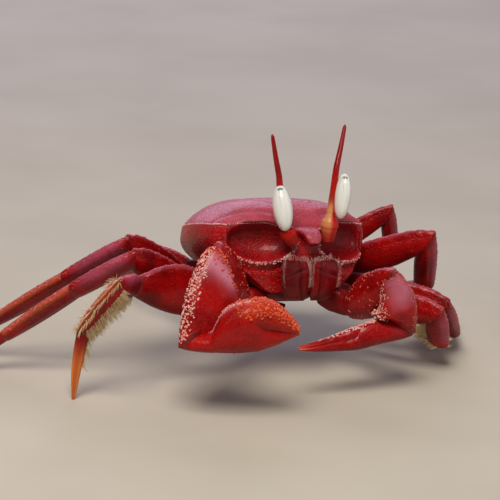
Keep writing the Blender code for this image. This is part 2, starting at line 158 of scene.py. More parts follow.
# ---------------------------------------------------------------- the body's own axes
@dataclass(frozen=True)
class BodyAxes:
    """Where the carapace stands and how it tilts."""

    centre: Point = (7.4, -6.9, 34.8)
    pitch: float = 15.0
    roll: float = 6.0

    def turn(self) -> Array:
        """The matrix that turns body axes into the frame: pitch first, then roll."""
        p, r = radians(-self.pitch), radians(self.roll)
        about_x = np.array([[1, 0, 0], [0, cos(p), -sin(p)], [0, sin(p), cos(p)]])
        about_y = np.array([[cos(r), 0, sin(r)], [0, 1, 0], [-sin(r), 0, cos(r)]])
        return about_y @ about_x

    def place(self, points: Array) -> Array:
        """Points in widths along the body's axes, in frame millimetres."""
        return np.asarray(self.centre) + (np.asarray(points, float) * WIDTH) @ self.turn().T


BODY = BodyAxes()


# ---------------------------------------------------------------- meshes
@dataclass
class Skin:
    """A closed surface as a grid of points: rows run along it, columns round it."""

    points: Array
    normals: Array
    masks: dict[str, Array | float]

    @classmethod
    def over(cls, points: Array, masks: Mapping[str, Array | float] | None = None) -> "Skin":
        """Takes a grid of points and works out its outward normals."""
        down = np.gradient(points, axis=0)
        round_ = np.roll(points, -1, axis=1) - np.roll(points, 1, axis=1)
        normals = unit(np.cross(round_, down))
        middle = points.mean(axis=1, keepdims=True)
        if ((points - middle) * normals).sum() < 0:
            normals = -normals
        return cls(points, normals, dict(masks or {}))

    def lifted(self, height: Array) -> "Skin":
        """The same surface with its points moved out by the height, in millimetres."""
        return Skin.over(self.points + self.normals * height[..., None], self.masks)

    def faces(self) -> list[tuple[int, ...]]:
        """Quads round the grid and fans over both ends."""
        rows, columns = self.points.shape[:2]
        index = np.arange(rows * columns).reshape(rows, columns)
        onward = np.roll(index, -1, axis=1)
        quads = np.stack([index[:-1], onward[:-1], onward[1:], index[1:]], axis=-1).reshape(-1, 4)
        first, last = rows * columns, rows * columns + 1
        fans = [(first, onward[0, c], index[0, c]) for c in range(columns)]
        fans += [(last, index[-1, c], onward[-1, c]) for c in range(columns)]
        return [tuple(q) for q in quads.tolist()] + fans

    def corners(self) -> Array:
        """All vertices: the grid and the middle of each end."""
        ends = np.stack([self.points[0].mean(axis=0), self.points[-1].mean(axis=0)])
        return np.concatenate([self.points.reshape(-1, 3), ends])

    def between(self, rows: Array, columns: Array, s: Array, t: Array) -> Array:
        """Points inside cells of the grid, s of the way round and t of the way along them."""
        ahead = (columns + 1) % self.points.shape[1]
        near = self.points[rows, columns] * (1 - s) + self.points[rows, ahead] * s
        far = self.points[rows + 1, columns] * (1 - s) + self.points[rows + 1, ahead] * s
        return near * (1 - t) + far * t

    def mask_values(self, name: str) -> Array:
        """One mask's value at every vertex."""
        grid = np.broadcast_to(self.masks[name], self.points.shape[:2])
        return np.concatenate([grid.ravel(), [grid[0].mean(), grid[-1].mean()]])


def link_object(name: str, data: bpy.types.ID) -> bpy.types.Object:
    """Puts a new object with its data into the scene."""
    made = bpy.data.objects.new(name, data)
    bpy.context.scene.collection.objects.link(made)
    return made


def new_object(name: str, vertices: Array, faces: Sequence[Sequence[int]]) -> bpy.types.Object:
    """Makes a smooth mesh object at the origin from points in millimetres.

    Args:
        name: the object's name.
        vertices: points in millimetres.
        faces: vertex indices of each face.

    Returns:
        The linked object, with its faces turned outwards.
    """
    corners = vertices * MM
    volume = 0.0
    for face in faces:
        a, b, c = corners[face[0]], corners[face[1]], corners[face[2]]
        volume += a @ np.cross(b, c) * (2 if len(face) == 4 else 1)
    mesh = bpy.data.meshes.new(name)
    ordered = faces if volume > 0 else [tuple(reversed(f)) for f in faces]
    mesh.from_pydata(corners.tolist(), [], ordered)
    mesh.validate()
    mesh.shade_smooth()
    return link_object(name, mesh)


def store(mesh: bpy.types.Mesh, name: str, values: Array) -> None:
    """Keeps a number or a vector at every vertex of a mesh."""
    kind, key = ("FLOAT", "value") if values.ndim == 1 else ("FLOAT_VECTOR", "vector")
    mesh.attributes.new(name, kind, "POINT").data.foreach_set(key, values.astype(np.float32).ravel())


def settle(piece: bpy.types.Object, slot: str, *nodes: str) -> None:
    """Lets a finished piece ride on the crab and stand for its solids, which it hides."""
    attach(piece, "root")
    if nodes:
        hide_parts(*nodes)
    stands_for = ", ".join(nodes) or "no solid"
    LOG.info("%s: %d faces, stands for %s", piece.name, len(piece.data.polygons), stands_for)


def dress(name: str, skin: Skin, finish: bpy.types.Material, slot: str, *nodes: str) -> None:
    """Makes a skin into a piece with its masks as point attributes, and settles it."""
    piece = new_object(name, skin.corners(), skin.faces())
    for mask in skin.masks:
        store(piece.data, mask, skin.mask_values(mask))
    piece.data.materials.append(finish)
    settle(piece, slot, *nodes)


# ---------------------------------------------------------------- node trees
def connect(tree: bpy.types.NodeTree, node: bpy.types.Node, inputs: Mapping[object, object]) -> None:
    """Links each input of a node to a socket, or sets its value.

    Args:
        tree: the node tree.
        node: the node.
        inputs: per input name or number, a socket to link from or a value.
    """
    for key, value in inputs.items():
        if isinstance(value, bpy.types.NodeSocket):
            tree.links.new(value, node.inputs[key])
        else:
            node.inputs[key].default_value = value


def add_node(
    tree: bpy.types.NodeTree,
    kind: str,
    settings: Mapping[str, object] | None = None,
    inputs: Mapping[object, object] | None = None,
    out: str | int = 0,
) -> bpy.types.NodeSocket:
    """Adds one node with its settings, values and incoming links.

    Args:
        tree: the node tree.
        kind: the node's type name.
        settings: properties to set.
        inputs: per input name or number, a socket to link from or a value.
        out: name or number of the output that is wanted.

    Returns:
        That output of the new node.
    """
    made = tree.nodes.new(kind)
    for key, value in (settings or {}).items():
        setattr(made, key, value)
    connect(tree, made, inputs or {})
    return made.outputs[out]


def colour(hex_code: str) -> tuple[float, float, float, float]:
    """A linear colour from an sRGB hex code."""
    parts = [int(hex_code[i : i + 2], 16) / 255 for i in (0, 2, 4)]
    linear = [v / 12.92 if v <= 0.04045 else ((v + 0.055) / 1.055) ** 2.4 for v in parts]
    return (linear[0], linear[1], linear[2], 1.0)


class Scattered(Enum):
    """What a scatter tree sets on each of its points."""

    BEAD = "bead"
    BRISTLE = "bristle"


def scatter_tree(kind: Scattered) -> bpy.types.NodeTree:
    """Builds the tree that sets a bead or a bristle on every point of a mesh.

    The points carry their size, the way they lie and the place of their root on the skin's unwrap.

    Args:
        kind: bead or bristle.

    Returns:
        The geometry node tree, with the inputs Length, Bend and Finish.
    """
    tree = bpy.data.node_groups.new(f"scatter_{kind.value}", "GeometryNodeTree")
    sockets = {"Points": "Geometry", "Length": "Float", "Bend": "Float", "Finish": "Material"}
    for name, sort in sockets.items():
        tree.interface.new_socket(name, in_out="INPUT", socket_type=f"NodeSocket{sort}")
    tree.interface.new_socket("Pieces", in_out="OUTPUT", socket_type="NodeSocketGeometry")
    given, add = tree.nodes.new("NodeGroupInput").outputs, partial(add_node, tree)
    vector, product = "FLOAT_VECTOR", {"operation": "MULTIPLY"}
    spot = add("GeometryNodeInputPosition")
    if kind is Scattered.BEAD:
        body = add("GeometryNodeMeshIcoSphere", None, {"Radius": 1.0, "Subdivisions": 2}, "Mesh")
    else:
        cone = {
            "Vertices": 3, "Side Segments": 5, "Radius Top": 0.016, "Radius Bottom": 0.065, "Depth": 1.0
        }
        straight = add("GeometryNodeMeshCone", None, cone, "Mesh")
        height = add("ShaderNodeSeparateXYZ", None, {0: spot}, "Z")
        square = add("ShaderNodeMath", {"operation": "POWER"}, {0: height, 1: 2.0})
        lean = add("ShaderNodeMath", product, {0: square, 1: given["Bend"]})
        shift = add("ShaderNodeCombineXYZ", None, {"X": lean})
        body = add("GeometryNodeSetPosition", None, {"Geometry": straight, "Offset": shift})
    store_point = {"data_type": vector, "domain": "POINT"}
    kept = add(
        "GeometryNodeStoreNamedAttribute", store_point, {"Geometry": body, "Name": "spot", "Value": spot}
    )
    size, lie, across, root, there = (
        add("GeometryNodeInputNamedAttribute", {"data_type": sort}, {"Name": name}, "Attribute")
        for name, sort in (
            ("size", "FLOAT"), ("lie", vector), ("lean", vector), ("root", vector), ("spot", vector)
        )
    )
    upright = add("FunctionNodeAlignRotationToVector", {"axis": "Z"}, {"Vector": lie})
    along = {"axis": "X", "pivot_axis": "Z"}
    turned = add("FunctionNodeAlignRotationToVector", along, {"Rotation": upright, "Vector": across})
    tall = add("ShaderNodeMath", product, {0: size, 1: given["Length"]})
    scale = add("ShaderNodeCombineXYZ", None, {"X": size, "Y": size, "Z": tall})
    laid = {"Points": given["Points"], "Instance": kept, "Rotation": turned, "Scale": scale}
    real = add("GeometryNodeRealizeInstances", None, {0: add("GeometryNodeInstanceOnPoints", None, laid)})
    small = add("ShaderNodeVectorMath", {"operation": "SCALE"}, {0: there, "Scale": BAKE_PATCH})
    patch = add("ShaderNodeVectorMath", {"operation": "ADD"}, {0: root, 1: small})
    store_map = {"data_type": "FLOAT2", "domain": "CORNER"}
    mapping = {"Geometry": real, "Name": "OFBake", "Value": patch}
    mapped = add("GeometryNodeStoreNamedAttribute", store_map, mapping)
    smooth = add("GeometryNodeSetShadeSmooth", None, {"Geometry": mapped})
    dressed = add("GeometryNodeSetMaterial", None, {"Geometry": smooth, "Material": given["Finish"]})
    connect(tree, tree.nodes.new("NodeGroupOutput"), {"Pieces": dressed})
    return tree


@dataclass
class Roots:
    """Points on a skin from which beads or bristles grow."""

    points: Array
    lies: Array
    leans: Array
    sizes: Array
    unwrap: Array

    @classmethod
    def joined(cls, parts: Sequence["Roots"]) -> "Roots":
        """Several sets of roots as one."""
        names = ("points", "lies", "leans", "sizes", "unwrap")
        return cls(*[np.concatenate([getattr(p, n) for p in parts]) for n in names])

    @classmethod
    def scattered(
        cls, skin: Skin, weight: Array, count: int, sizes: Span, seed: int, sink: float = 0.3
    ) -> "Roots":
        """Roots spread over a skin where the weight is high.

        Args:
            skin: the skin.
            weight: how likely each grid point is.
            count: how many roots.
            sizes: the smallest and largest size in millimetres.
            seed: seed of the spread.
            sink: how deep a bead's middle lies under the skin, in sizes.

        Returns:
            The roots, at least about a bead apart.
        """
        rng = np.random.default_rng(seed)
        grid = skin.points
        round_ = np.linalg.norm(np.roll(grid, -1, axis=1) - grid, axis=-1)
        along = np.linalg.norm(np.gradient(grid, axis=0), axis=-1)
        chance = (np.broadcast_to(weight, grid.shape[:2]) * round_ * along).ravel()
        picks = rng.choice(len(chance), size=count, p=chance / chance.sum())
        rows, columns = np.unravel_index(picks, grid.shape[:2])
        rows = np.clip(rows, 1, grid.shape[0] - 2)
        s, t = rng.random((2, count, 1))
        points = skin.between(rows, columns, s, t)
        size = rng.uniform(*sizes, count)
        taken = np.ones(count, bool)
        cells: dict[tuple[int, int, int], int] = {}
        spacing = 1.15 * sizes[1]
        for i, cell in enumerate(map(tuple, np.round(points / spacing).astype(int).tolist())):
            taken[i] = cell not in cells
            cells[cell] = i
        normals = skin.normals[rows, columns]
        points = points - normals * (size * sink)[:, None]
        leans = unit(np.cross(normals, rng.normal(size=(count, 3))))
        unwrap = np.stack(
            [(columns + s[:, 0]) / grid.shape[1], (rows + t[:, 0]) / grid.shape[0], 0 * size], axis=-1
        )
        return cls(points[taken], normals[taken], leans[taken], size[taken], unwrap[taken])

    @classmethod
    def along(
        cls,
        skin: Skin,
        rows: Span,
        column: float | Span,
        count: int,
        sizes: Span,
        seed: int,
        jitter: float = 0.0,
        sink: float = 0.3,
        lift: Point | None = None,
        comb: float = 0.0,
    ) -> "Roots":
        """A line of roots along a skin.

        Args:
            skin: the skin.
            rows: where the line begins and ends, as shares of the skin's length.
            column: the line's place round the skin, as a share of a turn; two for a slanting line.
            count: how many roots.
            sizes: smallest and largest size in millimetres.
            seed: seed of the variation.
            jitter: spread round the skin, as a share of a turn.
            sink: how deep a bead's middle lies under the skin, in sizes.
            lift: a direction that the roots' lie is turned towards.
            comb: how far they lean along the skin.

        Returns:
            The roots.
        """
        rng = np.random.default_rng(seed)
        share = (np.arange(count) + rng.uniform(0.2, 0.8, count)) / count
        start, end = (column, column) if isinstance(column, float) else column
        r = (rows[0] + (rows[1] - rows[0]) * share) * (skin.points.shape[0] - 1)
        c = (start + (end - start) * share + rng.normal(0, 1, count) * jitter) * skin.points.shape[1]
        r0 = np.clip(r.astype(int), 0, skin.points.shape[0] - 2)
        c0 = np.floor(c).astype(int) % skin.points.shape[1]
        points = skin.between(r0, c0, (c - np.floor(c))[:, None], (r - r0)[:, None])
        normals = skin.normals[r0, c0]
        forward = unit(skin.points[r0 + 1, c0] - skin.points[r0, c0])
        size = rng.uniform(*sizes, count)
        points = points - normals * (size * sink)[:, None]
        lies = normals + forward * comb
        if lift is not None:
            lies = lies + np.asarray(lift)
        lies = unit(lies + rng.normal(0, SIDEWAYS, (count, 3)))
        unwrap = np.stack([(c / skin.points.shape[1]) % 1.0, r / skin.points.shape[0], 0 * size], axis=-1)
        return cls(points, lies, forward, size, unwrap)


@dataclass
class Scatter:
    """Sets beads or bristles on roots through one shared tree of each kind, and settles the piece."""

    trees: dict[Scattered, bpy.types.NodeTree] = field(default_factory=dict)

    def grow(
        self,
        slot: str,
        name: str,
        kind: Scattered,
        roots: Sequence[Roots],
        finish: bpy.types.Material,
        stretch: float = 1.0,
        bend: float = 0.0,
    ) -> None:
        """Makes one plain mesh of beads or bristles, with their roots' places in the map named OFBake.

        Args:
            slot: the slot meant for the piece; not used.
            name: the piece's name.
            kind: bead or bristle.
            roots: where they grow.
            finish: their material.
            stretch: height over width of a bead, or of a bristle against its plain shape.
            bend: how far a bristle's tip leans over.
        """
        if kind not in self.trees:
            self.trees[kind] = scatter_tree(kind)
        tree, every = self.trees[kind], Roots.joined(roots)
        mesh = bpy.data.meshes.new(f"{name}_roots")
        mesh.from_pydata((every.points * MM).tolist(), [], [])
        store(mesh, "size", every.sizes * MM)
        for key, values in (("lie", every.lies), ("lean", every.leans), ("root", every.unwrap)):
            store(mesh, key, values)
        holder = link_object(f"{name}_holder", mesh)
        step = holder.modifiers.new("grow", "NODES")
        step.node_group = tree
        wanted = {"Length": stretch, "Bend": bend, "Finish": finish}
        for item in tree.interface.items_tree:
            if item.item_type == "SOCKET" and item.in_out == "INPUT" and item.name in wanted:
                step[item.identifier] = wanted[item.name]
        grown = bpy.data.meshes.new_from_object(holder.evaluated_get(bpy.context.evaluated_depsgraph_get()))
        grown.name = name
        holder.modifiers.clear()
        bpy.data.objects.remove(holder)
        if not grown.materials:
            grown.materials.append(finish)
        settle(link_object(name, grown), slot)


# ---------------------------------------------------------------- finishes
def new_material(name: str) -> tuple[bpy.types.Material, bpy.types.NodeTree, bpy.types.Node]:
    """A new material, its tree and its shader."""
    material = bpy.data.materials.new(name)
    material.use_nodes = True
    return material, material.node_tree, material.node_tree.nodes["Principled BSDF"]


@dataclass(frozen=True)
class Chitin:
    """Crab shell: thin hard chitin, pigmented red in depth, with a wet waxy gloss.

    To the eye it is a saturated red that goes nearly black in shade, with fine granules that
    catch the light and a soft pale sheen where it faces the sky. That sheen is painted into the
    colour through the pale mask, and the shade is painted in through the deep mask, towards the dark colour.
    """

    name: str
    lit: str
    deep: str
    # pale: tint of the painted sheen and highlights; on the eyestalk, a real tan
    pale: str
    tip: str = "E58A34"
    # dark: colour of the painted shade that the deep mask lays on
    dark: str = "300103"
    mottle_mm: float = 7.0
    granule_mm: float = 0.55
    granule_height_mm: float = 0.03
    wear_mm: float = 0.35
    speckle: float = 0.25
    roughness: float = 0.28
    coat: float = 0.15

    def make(self) -> bpy.types.Material:
        """Builds the material.

        Returns:
            A material that reads the masks pale, tip and deep where the mesh has them: pale paints
            sheen and highlights along with real pale tones, and deep paints shade.
        """
        material, tree, shader = new_material(self.name)
        add, product = partial(add_node, tree), {"operation": "MULTIPLY"}
        place = add("ShaderNodeTexCoord", out="Object")
        coarse = {"Vector": place, "Scale": 1 / (self.mottle_mm * MM), "Detail": 5.0, "Roughness": 0.6}
        mottle = add("ShaderNodeTexNoise", None, coarse, "Fac")
        wear = {"Vector": place, "Scale": 1 / (self.wear_mm * MM), "Detail": 3.0}
        fine = add("ShaderNodeTexNoise", None, wear, "Fac")
        grit = {"Vector": place, "Scale": 1 / (self.granule_mm * MM)}
        cells = add("ShaderNodeTexVoronoi", {"feature": "F1"}, grit, "Distance")
        bead = {"Value": cells, "From Min": 0.62, "From Max": 0.12}
        dots = add("ShaderNodeMapRange", {"interpolation_type": "SMOOTHSTEP"}, bead)
        spread = add("ShaderNodeMapRange", None, {"Value": mottle, "From Min": 0.35, "From Max": 0.68})
        uneven = {"Value": mottle, "From Min": 0.25, "From Max": 0.65, "To Min": 0.55}
        blotch = add("ShaderNodeMapRange", None, uneven)
        pale, tip, deep = (
            add("ShaderNodeAttribute", {"attribute_name": key}, None, "Fac")
            for key in ("pale", "tip", "deep")
        )
        freckle = add("ShaderNodeMath", product, {0: dots, 1: self.speckle})
        # Painted sheen and highlights from the pale mask, patched by the mottle, beside real pale flecks on
        # the granule dots.
        blotched = add("ShaderNodeMath", product, {0: pale, 1: blotch})
        light = add("ShaderNodeMath", {"operation": "MAXIMUM"}, {0: blotched, 1: freckle})
        # Painted shade from the deep mask, laid on towards the dark colour.
        shade = add("ShaderNodeMath", product, {0: deep, 1: 0.75})
        tint = colour(self.deep)
        for share, over in ((spread, self.lit), (light, self.pale), (tip, self.tip), (shade, self.dark)):
            tint = add(
                "ShaderNodeMix", {"data_type": "RGBA"}, {"Factor": share, 6: tint, 7: colour(over)}, 2
            )
        worn = {"Value": fine, "To Min": self.roughness - 0.10, "To Max": self.roughness + 0.14}
        dull = add("ShaderNodeMapRange", None, worn)
        grain = add("ShaderNodeMath", {"operation": "MULTIPLY_ADD"}, {0: fine, 1: 0.35, 2: dots})
        height = {"Strength": 1.0, "Distance": self.granule_height_mm * MM, "Height": grain}
        inputs = {
            "Base Color": tint,
            "Roughness": add("ShaderNodeMath", {"operation": "MULTIPLY_ADD"}, {0: deep, 1: 0.3, 2: dull}),
            "Normal": add("ShaderNodeBump", None, height),
            "IOR": 1.52,
            "Coat Weight": self.coat,
            "Coat Roughness": 0.08,
            "Specular IOR Level": 0.17,
        }
        connect(tree, shader, inputs)
        return material


@dataclass(frozen=True)
class Plain:
    """A bead, bristle, joint skin or floor: dull and nearly of one colour, mottled a little."""

    name: str
    first: str
    second: str
    spread_mm: float = 1.2
    roughness: float = 0.4
    coat: float = 0.3

    def make(self) -> bpy.types.Material:
        """Builds the material, mottled between its two colours."""
        material, tree, shader = new_material(self.name)
        add = partial(add_node, tree)
        place = add("ShaderNodeTexCoord", out="Object")
        size = {"Vector": place, "Scale": 1 / (self.spread_mm * MM), "Detail": 3.0}
        noise = add("ShaderNodeTexNoise", None, size, "Fac")
        share = add("ShaderNodeMapRange", None, {"Value": noise, "From Min": 0.35, "From Max": 0.65})
        ends = {"Factor": share, 6: colour(self.first), 7: colour(self.second)}
        inputs = {
            "Base Color": add("ShaderNodeMix", {"data_type": "RGBA"}, ends, 2),
            "Roughness": self.roughness,
            "Coat Weight": self.coat,
            "Coat Roughness": 0.15,
        }
        connect(tree, shader, inputs)
        return material


@dataclass(frozen=True)
class WetCornea:
    """The eye's cornea: a clear wet skin over white facets, so it reads as glossy china white.

    Faint grey streaks run up it and a darker smudge sits near its top.
    """

    name: str = "cornea_white_wet"
    white: str = "F4F6F0"
    grey: str = "9AA29A"
    dark: str = "3A423E"
    facet_mm: float = 0.22
    facet_height_mm: float = 0.02

    def make(self) -> bpy.types.Material:
        """Builds the material, which reads the masks streak and smudge."""
        material, tree, shader = new_material(self.name)
        add = partial(add_node, tree)
        tint = colour(self.white)
        for key, over in (("streak", self.grey), ("smudge", self.dark)):
            share = add("ShaderNodeAttribute", {"attribute_name": key}, None, "Fac")
            tint = add(
                "ShaderNodeMix", {"data_type": "RGBA"}, {"Factor": share, 6: tint, 7: colour(over)}, 2
            )
        place = add("ShaderNodeTexCoord", out="Object")
        size = {"Vector": place, "Scale": 1 / (self.facet_mm * MM)}
        facets = add("ShaderNodeTexVoronoi", {"feature": "F1"}, size, "Distance")
        height = {"Strength": 0.25, "Distance": self.facet_height_mm * MM, "Height": facets}
        inputs = {
            "Base Color": tint,
            "Normal": add("ShaderNodeBump", None, height),
            "Roughness": 0.28,
            "Coat Weight": 0.8,
            "Coat Roughness": 0.05,
            "Subsurface Weight": 0.15,
            "Subsurface Scale": 0.001,
        }
        connect(tree, shader, inputs)
        return material


@dataclass
class Finishes:
    """Every material of the crab, made once."""

    shell: bpy.types.Material
    limb: bpy.types.Material
    claw: bpy.types.Material
    under: bpy.types.Material
    stalk: bpy.types.Material
    cornea: bpy.types.Material
    pale_bead: bpy.types.Material
    orange_bead: bpy.types.Material
    coral_bead: bpy.types.Material
    red_bead: bpy.types.Material
    bristle: bpy.types.Material
    fringe: bpy.types.Material
    joint: bpy.types.Material

    @classmethod
    def make(cls) -> "Finishes":
        """Builds all the materials."""
        # The pale colours tint painted sheen and highlights, except the eyestalk's tan, which is real; the
        # dark colour is painted shade.
        return cls(
            shell=Chitin(
                "shell_chitin", lit="C00705", deep="8C0403", pale="CC7C94", tip="B84A1E", granule_mm=0.60,
                speckle=0.10, granule_height_mm=0.10
            ).make(),
            limb=Chitin(
                "leg_chitin", lit="AC0705", deep="720203", pale="C46484", granule_mm=0.55, speckle=0.03,
                granule_height_mm=0.05, tip="E8823A"
            ).make(),
            claw=Chitin(
                "claw_chitin", lit="B60A05", deep="860402", pale="D088A0", tip="DC481A", granule_mm=0.6,
                speckle=0.03, granule_height_mm=0.04
            ).make(),
            under=Chitin(
                "underside_chitin", lit="860305", deep="4A0203", pale="B45060", granule_mm=0.45,
                speckle=0.03
            ).make(),
            stalk=Chitin(
                "eyestalk_chitin", lit="C40C08", deep="920506", pale="DCA468", tip="7A0508", granule_mm=0.4,
                granule_height_mm=0.02, speckle=0.05,
            ).make(),
            cornea=WetCornea().make(),
            pale_bead=Plain("pale_granules", "F0C8BE", "E08878").make(),
            orange_bead=Plain("orange_granules", "E4602A", "CC3014").make(),
            coral_bead=Plain("coral_granules", "DC6E5C", "C03A2C").make(),
            red_bead=Plain("red_granules", "C43028", "98140F").make(),
            bristle=Plain("golden_bristles", "F4E6BC", "DCB878", 2.0, 0.5, 0.0).make(),
            fringe=Plain("pale_fringe_bristles", "E8C0B8", "D08078", 2.0, 0.5, 0.0).make(),
            joint=Plain("joint_skin", "8C0806", "640303", 0.8, 0.45, 0.2).make(),
        )


# ---------------------------------------------------------------- limbs
CAP_RINGS = (0.96, 0.86, 0.68, 0.42, 0.15)  # how wide each ring of an end cap is, against the end
CAP_DOME = 0.22  # height of an end cap against the end's radius


@dataclass
class Segment:
    """One shell tube of a limb from joint to joint, in millimetres.

    Its low, high and thick profiles are read along it; the ends follow the plane that halves the bend.
    """

    start: Array
    end: Array
    dorsal: Array
    low: Profile
    high: Profile
    thick: Profile
    before: Array | None = None
    after: Array | None = None
    power: float = 0.85
    keel: float = 0.0
    bow: float = 0.0
    heel: float = 0.45  # share of its length that bends towards the segment before it
    fade: float = 0.45  # share of its length that bends towards the segment after it
    trim: float = 100.0  # most that its far end is cut back, in millimetres
    reach: float = 0.16 * LIMB  # most that an end is drawn out, in millimetres

    def __post_init__(self) -> None:
        """Works out the segment's own axes."""
        self.length = float(np.linalg.norm(self.end - self.start))
        self.axis = unit(self.end - self.start)
        self.dorsal = unit(self.dorsal - (self.dorsal @ self.axis) * self.axis)
        self.side = np.cross(self.axis, self.dorsal)

    def at(self, t: Array, a: Array) -> Array:
        """Points of the surface.

        Args:
            t: share of the length.
            a: angle round it, 0 at the dorsal edge.

        Returns:
            Points in millimetres.
        """
        low, high, thick = self.low(t), self.high(t), self.thick(t)
        up = power_wave(np.cos(a), self.power)
        across = power_wave(np.sin(a), self.power) * (1 - self.keel * np.maximum(0, up))
        lift = (low + high) / 2 + (high - low) / 2 * up + self.bow * np.sin(pi * t)
        off = lift[..., None] * self.dorsal + (thick / 2 * across)[..., None] * self.side
        points = self.start + (self.length * t)[..., None] * self.axis + off
        reach = min(self.reach, 0.25 * self.length)
        near, far = 1 - t / self.heel, 1 - (1 - t) / self.fade
        for neighbour, fade, sign in ((self.before, near, 1), (self.after, far, -1)):
            if neighbour is None:
                continue
            plane = unit(self.axis + neighbour)
            slope = plane @ self.axis
            slide = -(off @ plane) / slope + sign * SEAM / 2 / slope
            slide = np.maximum(-reach, slide) if sign > 0 else np.clip(slide, -self.trim, reach)
            points = points + (slide * np.clip(fade, 0, 1))[..., None] * self.axis
        return points

    def skin(
        self,
        rows: int,
        columns: int,
        masks: Mapping[str, Relief],
        relief: Relief | None = None,
        span: Span = (0.0, 1.0),
    ) -> Skin:
        """The closed skin of the segment.

        Args:
            rows: steps along it.
            columns: steps round it.
            masks: finish masks as functions of t and a.
            relief: height over the plain surface in millimetres, as a function of t and a.
            span: the shares of the length where the skin begins and ends.

        Returns:
            The skin, whose ends are drawn in to their middles.
        """
        steps = 0.5 - 0.5 * np.cos(np.linspace(0, pi, rows))
        steps = span[0] + (span[1] - span[0]) * (0.6 * steps + 0.4 * np.linspace(0, 1, rows))
        t, a = np.meshgrid(steps, angles(columns), indexing="ij")
        body = Skin.over(self.at(t, a))
        if relief is not None:
            body = body.lifted(relief(t, a))
        values = {name: mask(t, a) for name, mask in masks.items()}
        caps = []
        for row, inner, sign in ((0, 1, -1), (-1, -2, 1)):
            ring = body.points[row]
            middle = ring.mean(axis=0)
            radius = np.linalg.norm(ring - middle, axis=1).mean()
            out = unit(middle - body.points[inner].mean(axis=0))
            caps.append(
                [
                    middle + (ring - middle) * s + out * radius * CAP_DOME * np.sqrt(1 - s * s)
                    for s in CAP_RINGS
                ]
            )
        points = np.concatenate([np.array(caps[0])[::-1], body.points, np.array(caps[1])])
        more = len(CAP_RINGS)
        extended = {
            name: np.concatenate([np.repeat(v[:1], more, axis=0), v, np.repeat(v[-1:], more, axis=0)])
            for name, v in values.items()
        }
        return Skin.over(points, extended)


def blended(start: float, middle: float, end: float, scale: float) -> Profile:
    """A parabola through a start, a middle and an end value, times a scale."""

    def read(t: Array) -> Array:
        """The parabola's value at t."""
        sides = start * (1 - t) * (1 - 2 * t) + middle * 4 * t * (1 - t)
        return (sides + end * t * (2 * t - 1)) * scale

    return read


def rounded(profile: Profile, length: float, radius: float, first: float, last: float) -> Profile:
    """A profile drawn in near both ends, as a rounded edge.

    Args:
        profile: the plain profile.
        length: the segment's length.
        radius: how far from its end the rounding begins.
        first: share of the profile left at the start.
        last: share of the profile left at the end.

    Returns:
        The rounded profile.
    """

    def read(t: Array) -> Array:
        """The rounded profile's value at t."""
        keep = np.ones_like(t)
        for distance, left in ((t * length, first), ((1 - t) * length, last)):
            near = np.clip(1 - distance / radius, 0, 1)
            keep = np.minimum(keep, np.sqrt(1 - near * near * (1 - left * left)))
        return profile(t) * keep

    return read


def joint_points(
    root: Sequence[float], lengths: Sequence[float], headings: Sequence[float], pitches: Sequence[float]
) -> list[Array]:
    """A limb's joints from its root on the body outwards, in millimetres."""
    joints = [BODY.place(np.array(root))]
    for length, heading, pitch in zip(lengths, headings, pitches):
        joints.append(joints[-1] + heading_vector(heading, pitch) * length * LIMB)
    return joints


@dataclass(frozen=True)
class LegPose:
    """Where a walking leg begins and how its five segments lie."""

    root: Point
    lengths: tuple[float, ...]
    headings: tuple[float, ...]
    pitches: tuple[float, ...]
    girth: float = 1.0
    fringed: bool = False  # whether long setae stand on it
    broad: Span = (0.0, 0.0)  # how much deeper and taller its merus is


LEG_POSES = {
    "leg2_right": LegPose(
        (-0.27, -0.14, -0.36), (0.21, 0.60, 0.24, 0.38, 0.38), (-151, -180, -140, 124, -179),
        (-18, 20, 11, -53, -82), fringed=True, broad=(0.15, 0.85)
    ),
    "leg3_right": LegPose(
        (-0.28, 0.03, -0.34), (0.20, 0.57, 0.40, 0.52, 0.41), (171, -164, 149, 145, 158),
        (-9, 31, -33, -38, -40)
    ),
    "leg4_right": LegPose(
        (-0.27, 0.17, -0.32), (0.16, 0.61, 0.42, 0.54, 0.44), (159, -163, 149, 140, 140),
        (-6, 33, -34, -36, -40)
    ),
    "leg5_right": LegPose(
        (-0.22, 0.28, -0.29), (0.15, 0.46, 0.24, 0.36, 0.34), (120, 98, 85, 75, 70), (2, -6, -28, -44, -56),
        0.74
    ),
    "leg2_left": LegPose(
        (0.27, -0.14, -0.36), (0.22, 0.56, 0.25, 0.38, 0.36), (-22, -55, 44, 72, 38),
        (-17, -1, -58, -4, -27), fringed=True
    ),
    "leg3_left": LegPose(
        (0.28, 0.03, -0.34), (0.25, 0.66, 0.36, 0.52, 0.40), (-12, -50, 43, 62, 60), (-4, -4, -44, -3, -10)
    ),
    "leg4_left": LegPose(
        (0.27, 0.17, -0.32), (0.25, 0.67, 0.38, 0.52, 0.40), (-9, -46, 55, 72, 68), (9, 23, -64, -20, -25)
    ),
    "leg5_left": LegPose(
        (0.23, 0.28, -0.30), (0.24, 0.61, 0.24, 0.36, 0.34), (12, -23, 28, 80, 85), (8, 32, -73, -40, -60),
        0.74
    ),
}
LEG_PARTS = ("hip", "merus", "carpus", "propodus", "dactyl")
LEG_SHAPE = {  # height, then thickness, at the start, in the middle and at the end
    "hip": ((0.115, 0.13, 0.12), (0.10, 0.11, 0.10)),
    "merus": ((0.12, 0.20, 0.140), (0.085, 0.105, 0.085)),
    "carpus": ((0.135, 0.145, 0.13), (0.08, 0.09, 0.08)),
    "propodus": ((0.125, 0.13, 0.09), (0.075, 0.075, 0.06)),
    "dactyl": ((0.075, 0.062, 0.020), (0.055, 0.048, 0.018)),
}
KNEES = {"merus": (0.76, 1.0), "carpus": (0.42, 0.0)}  # where the top is lowered towards the knee
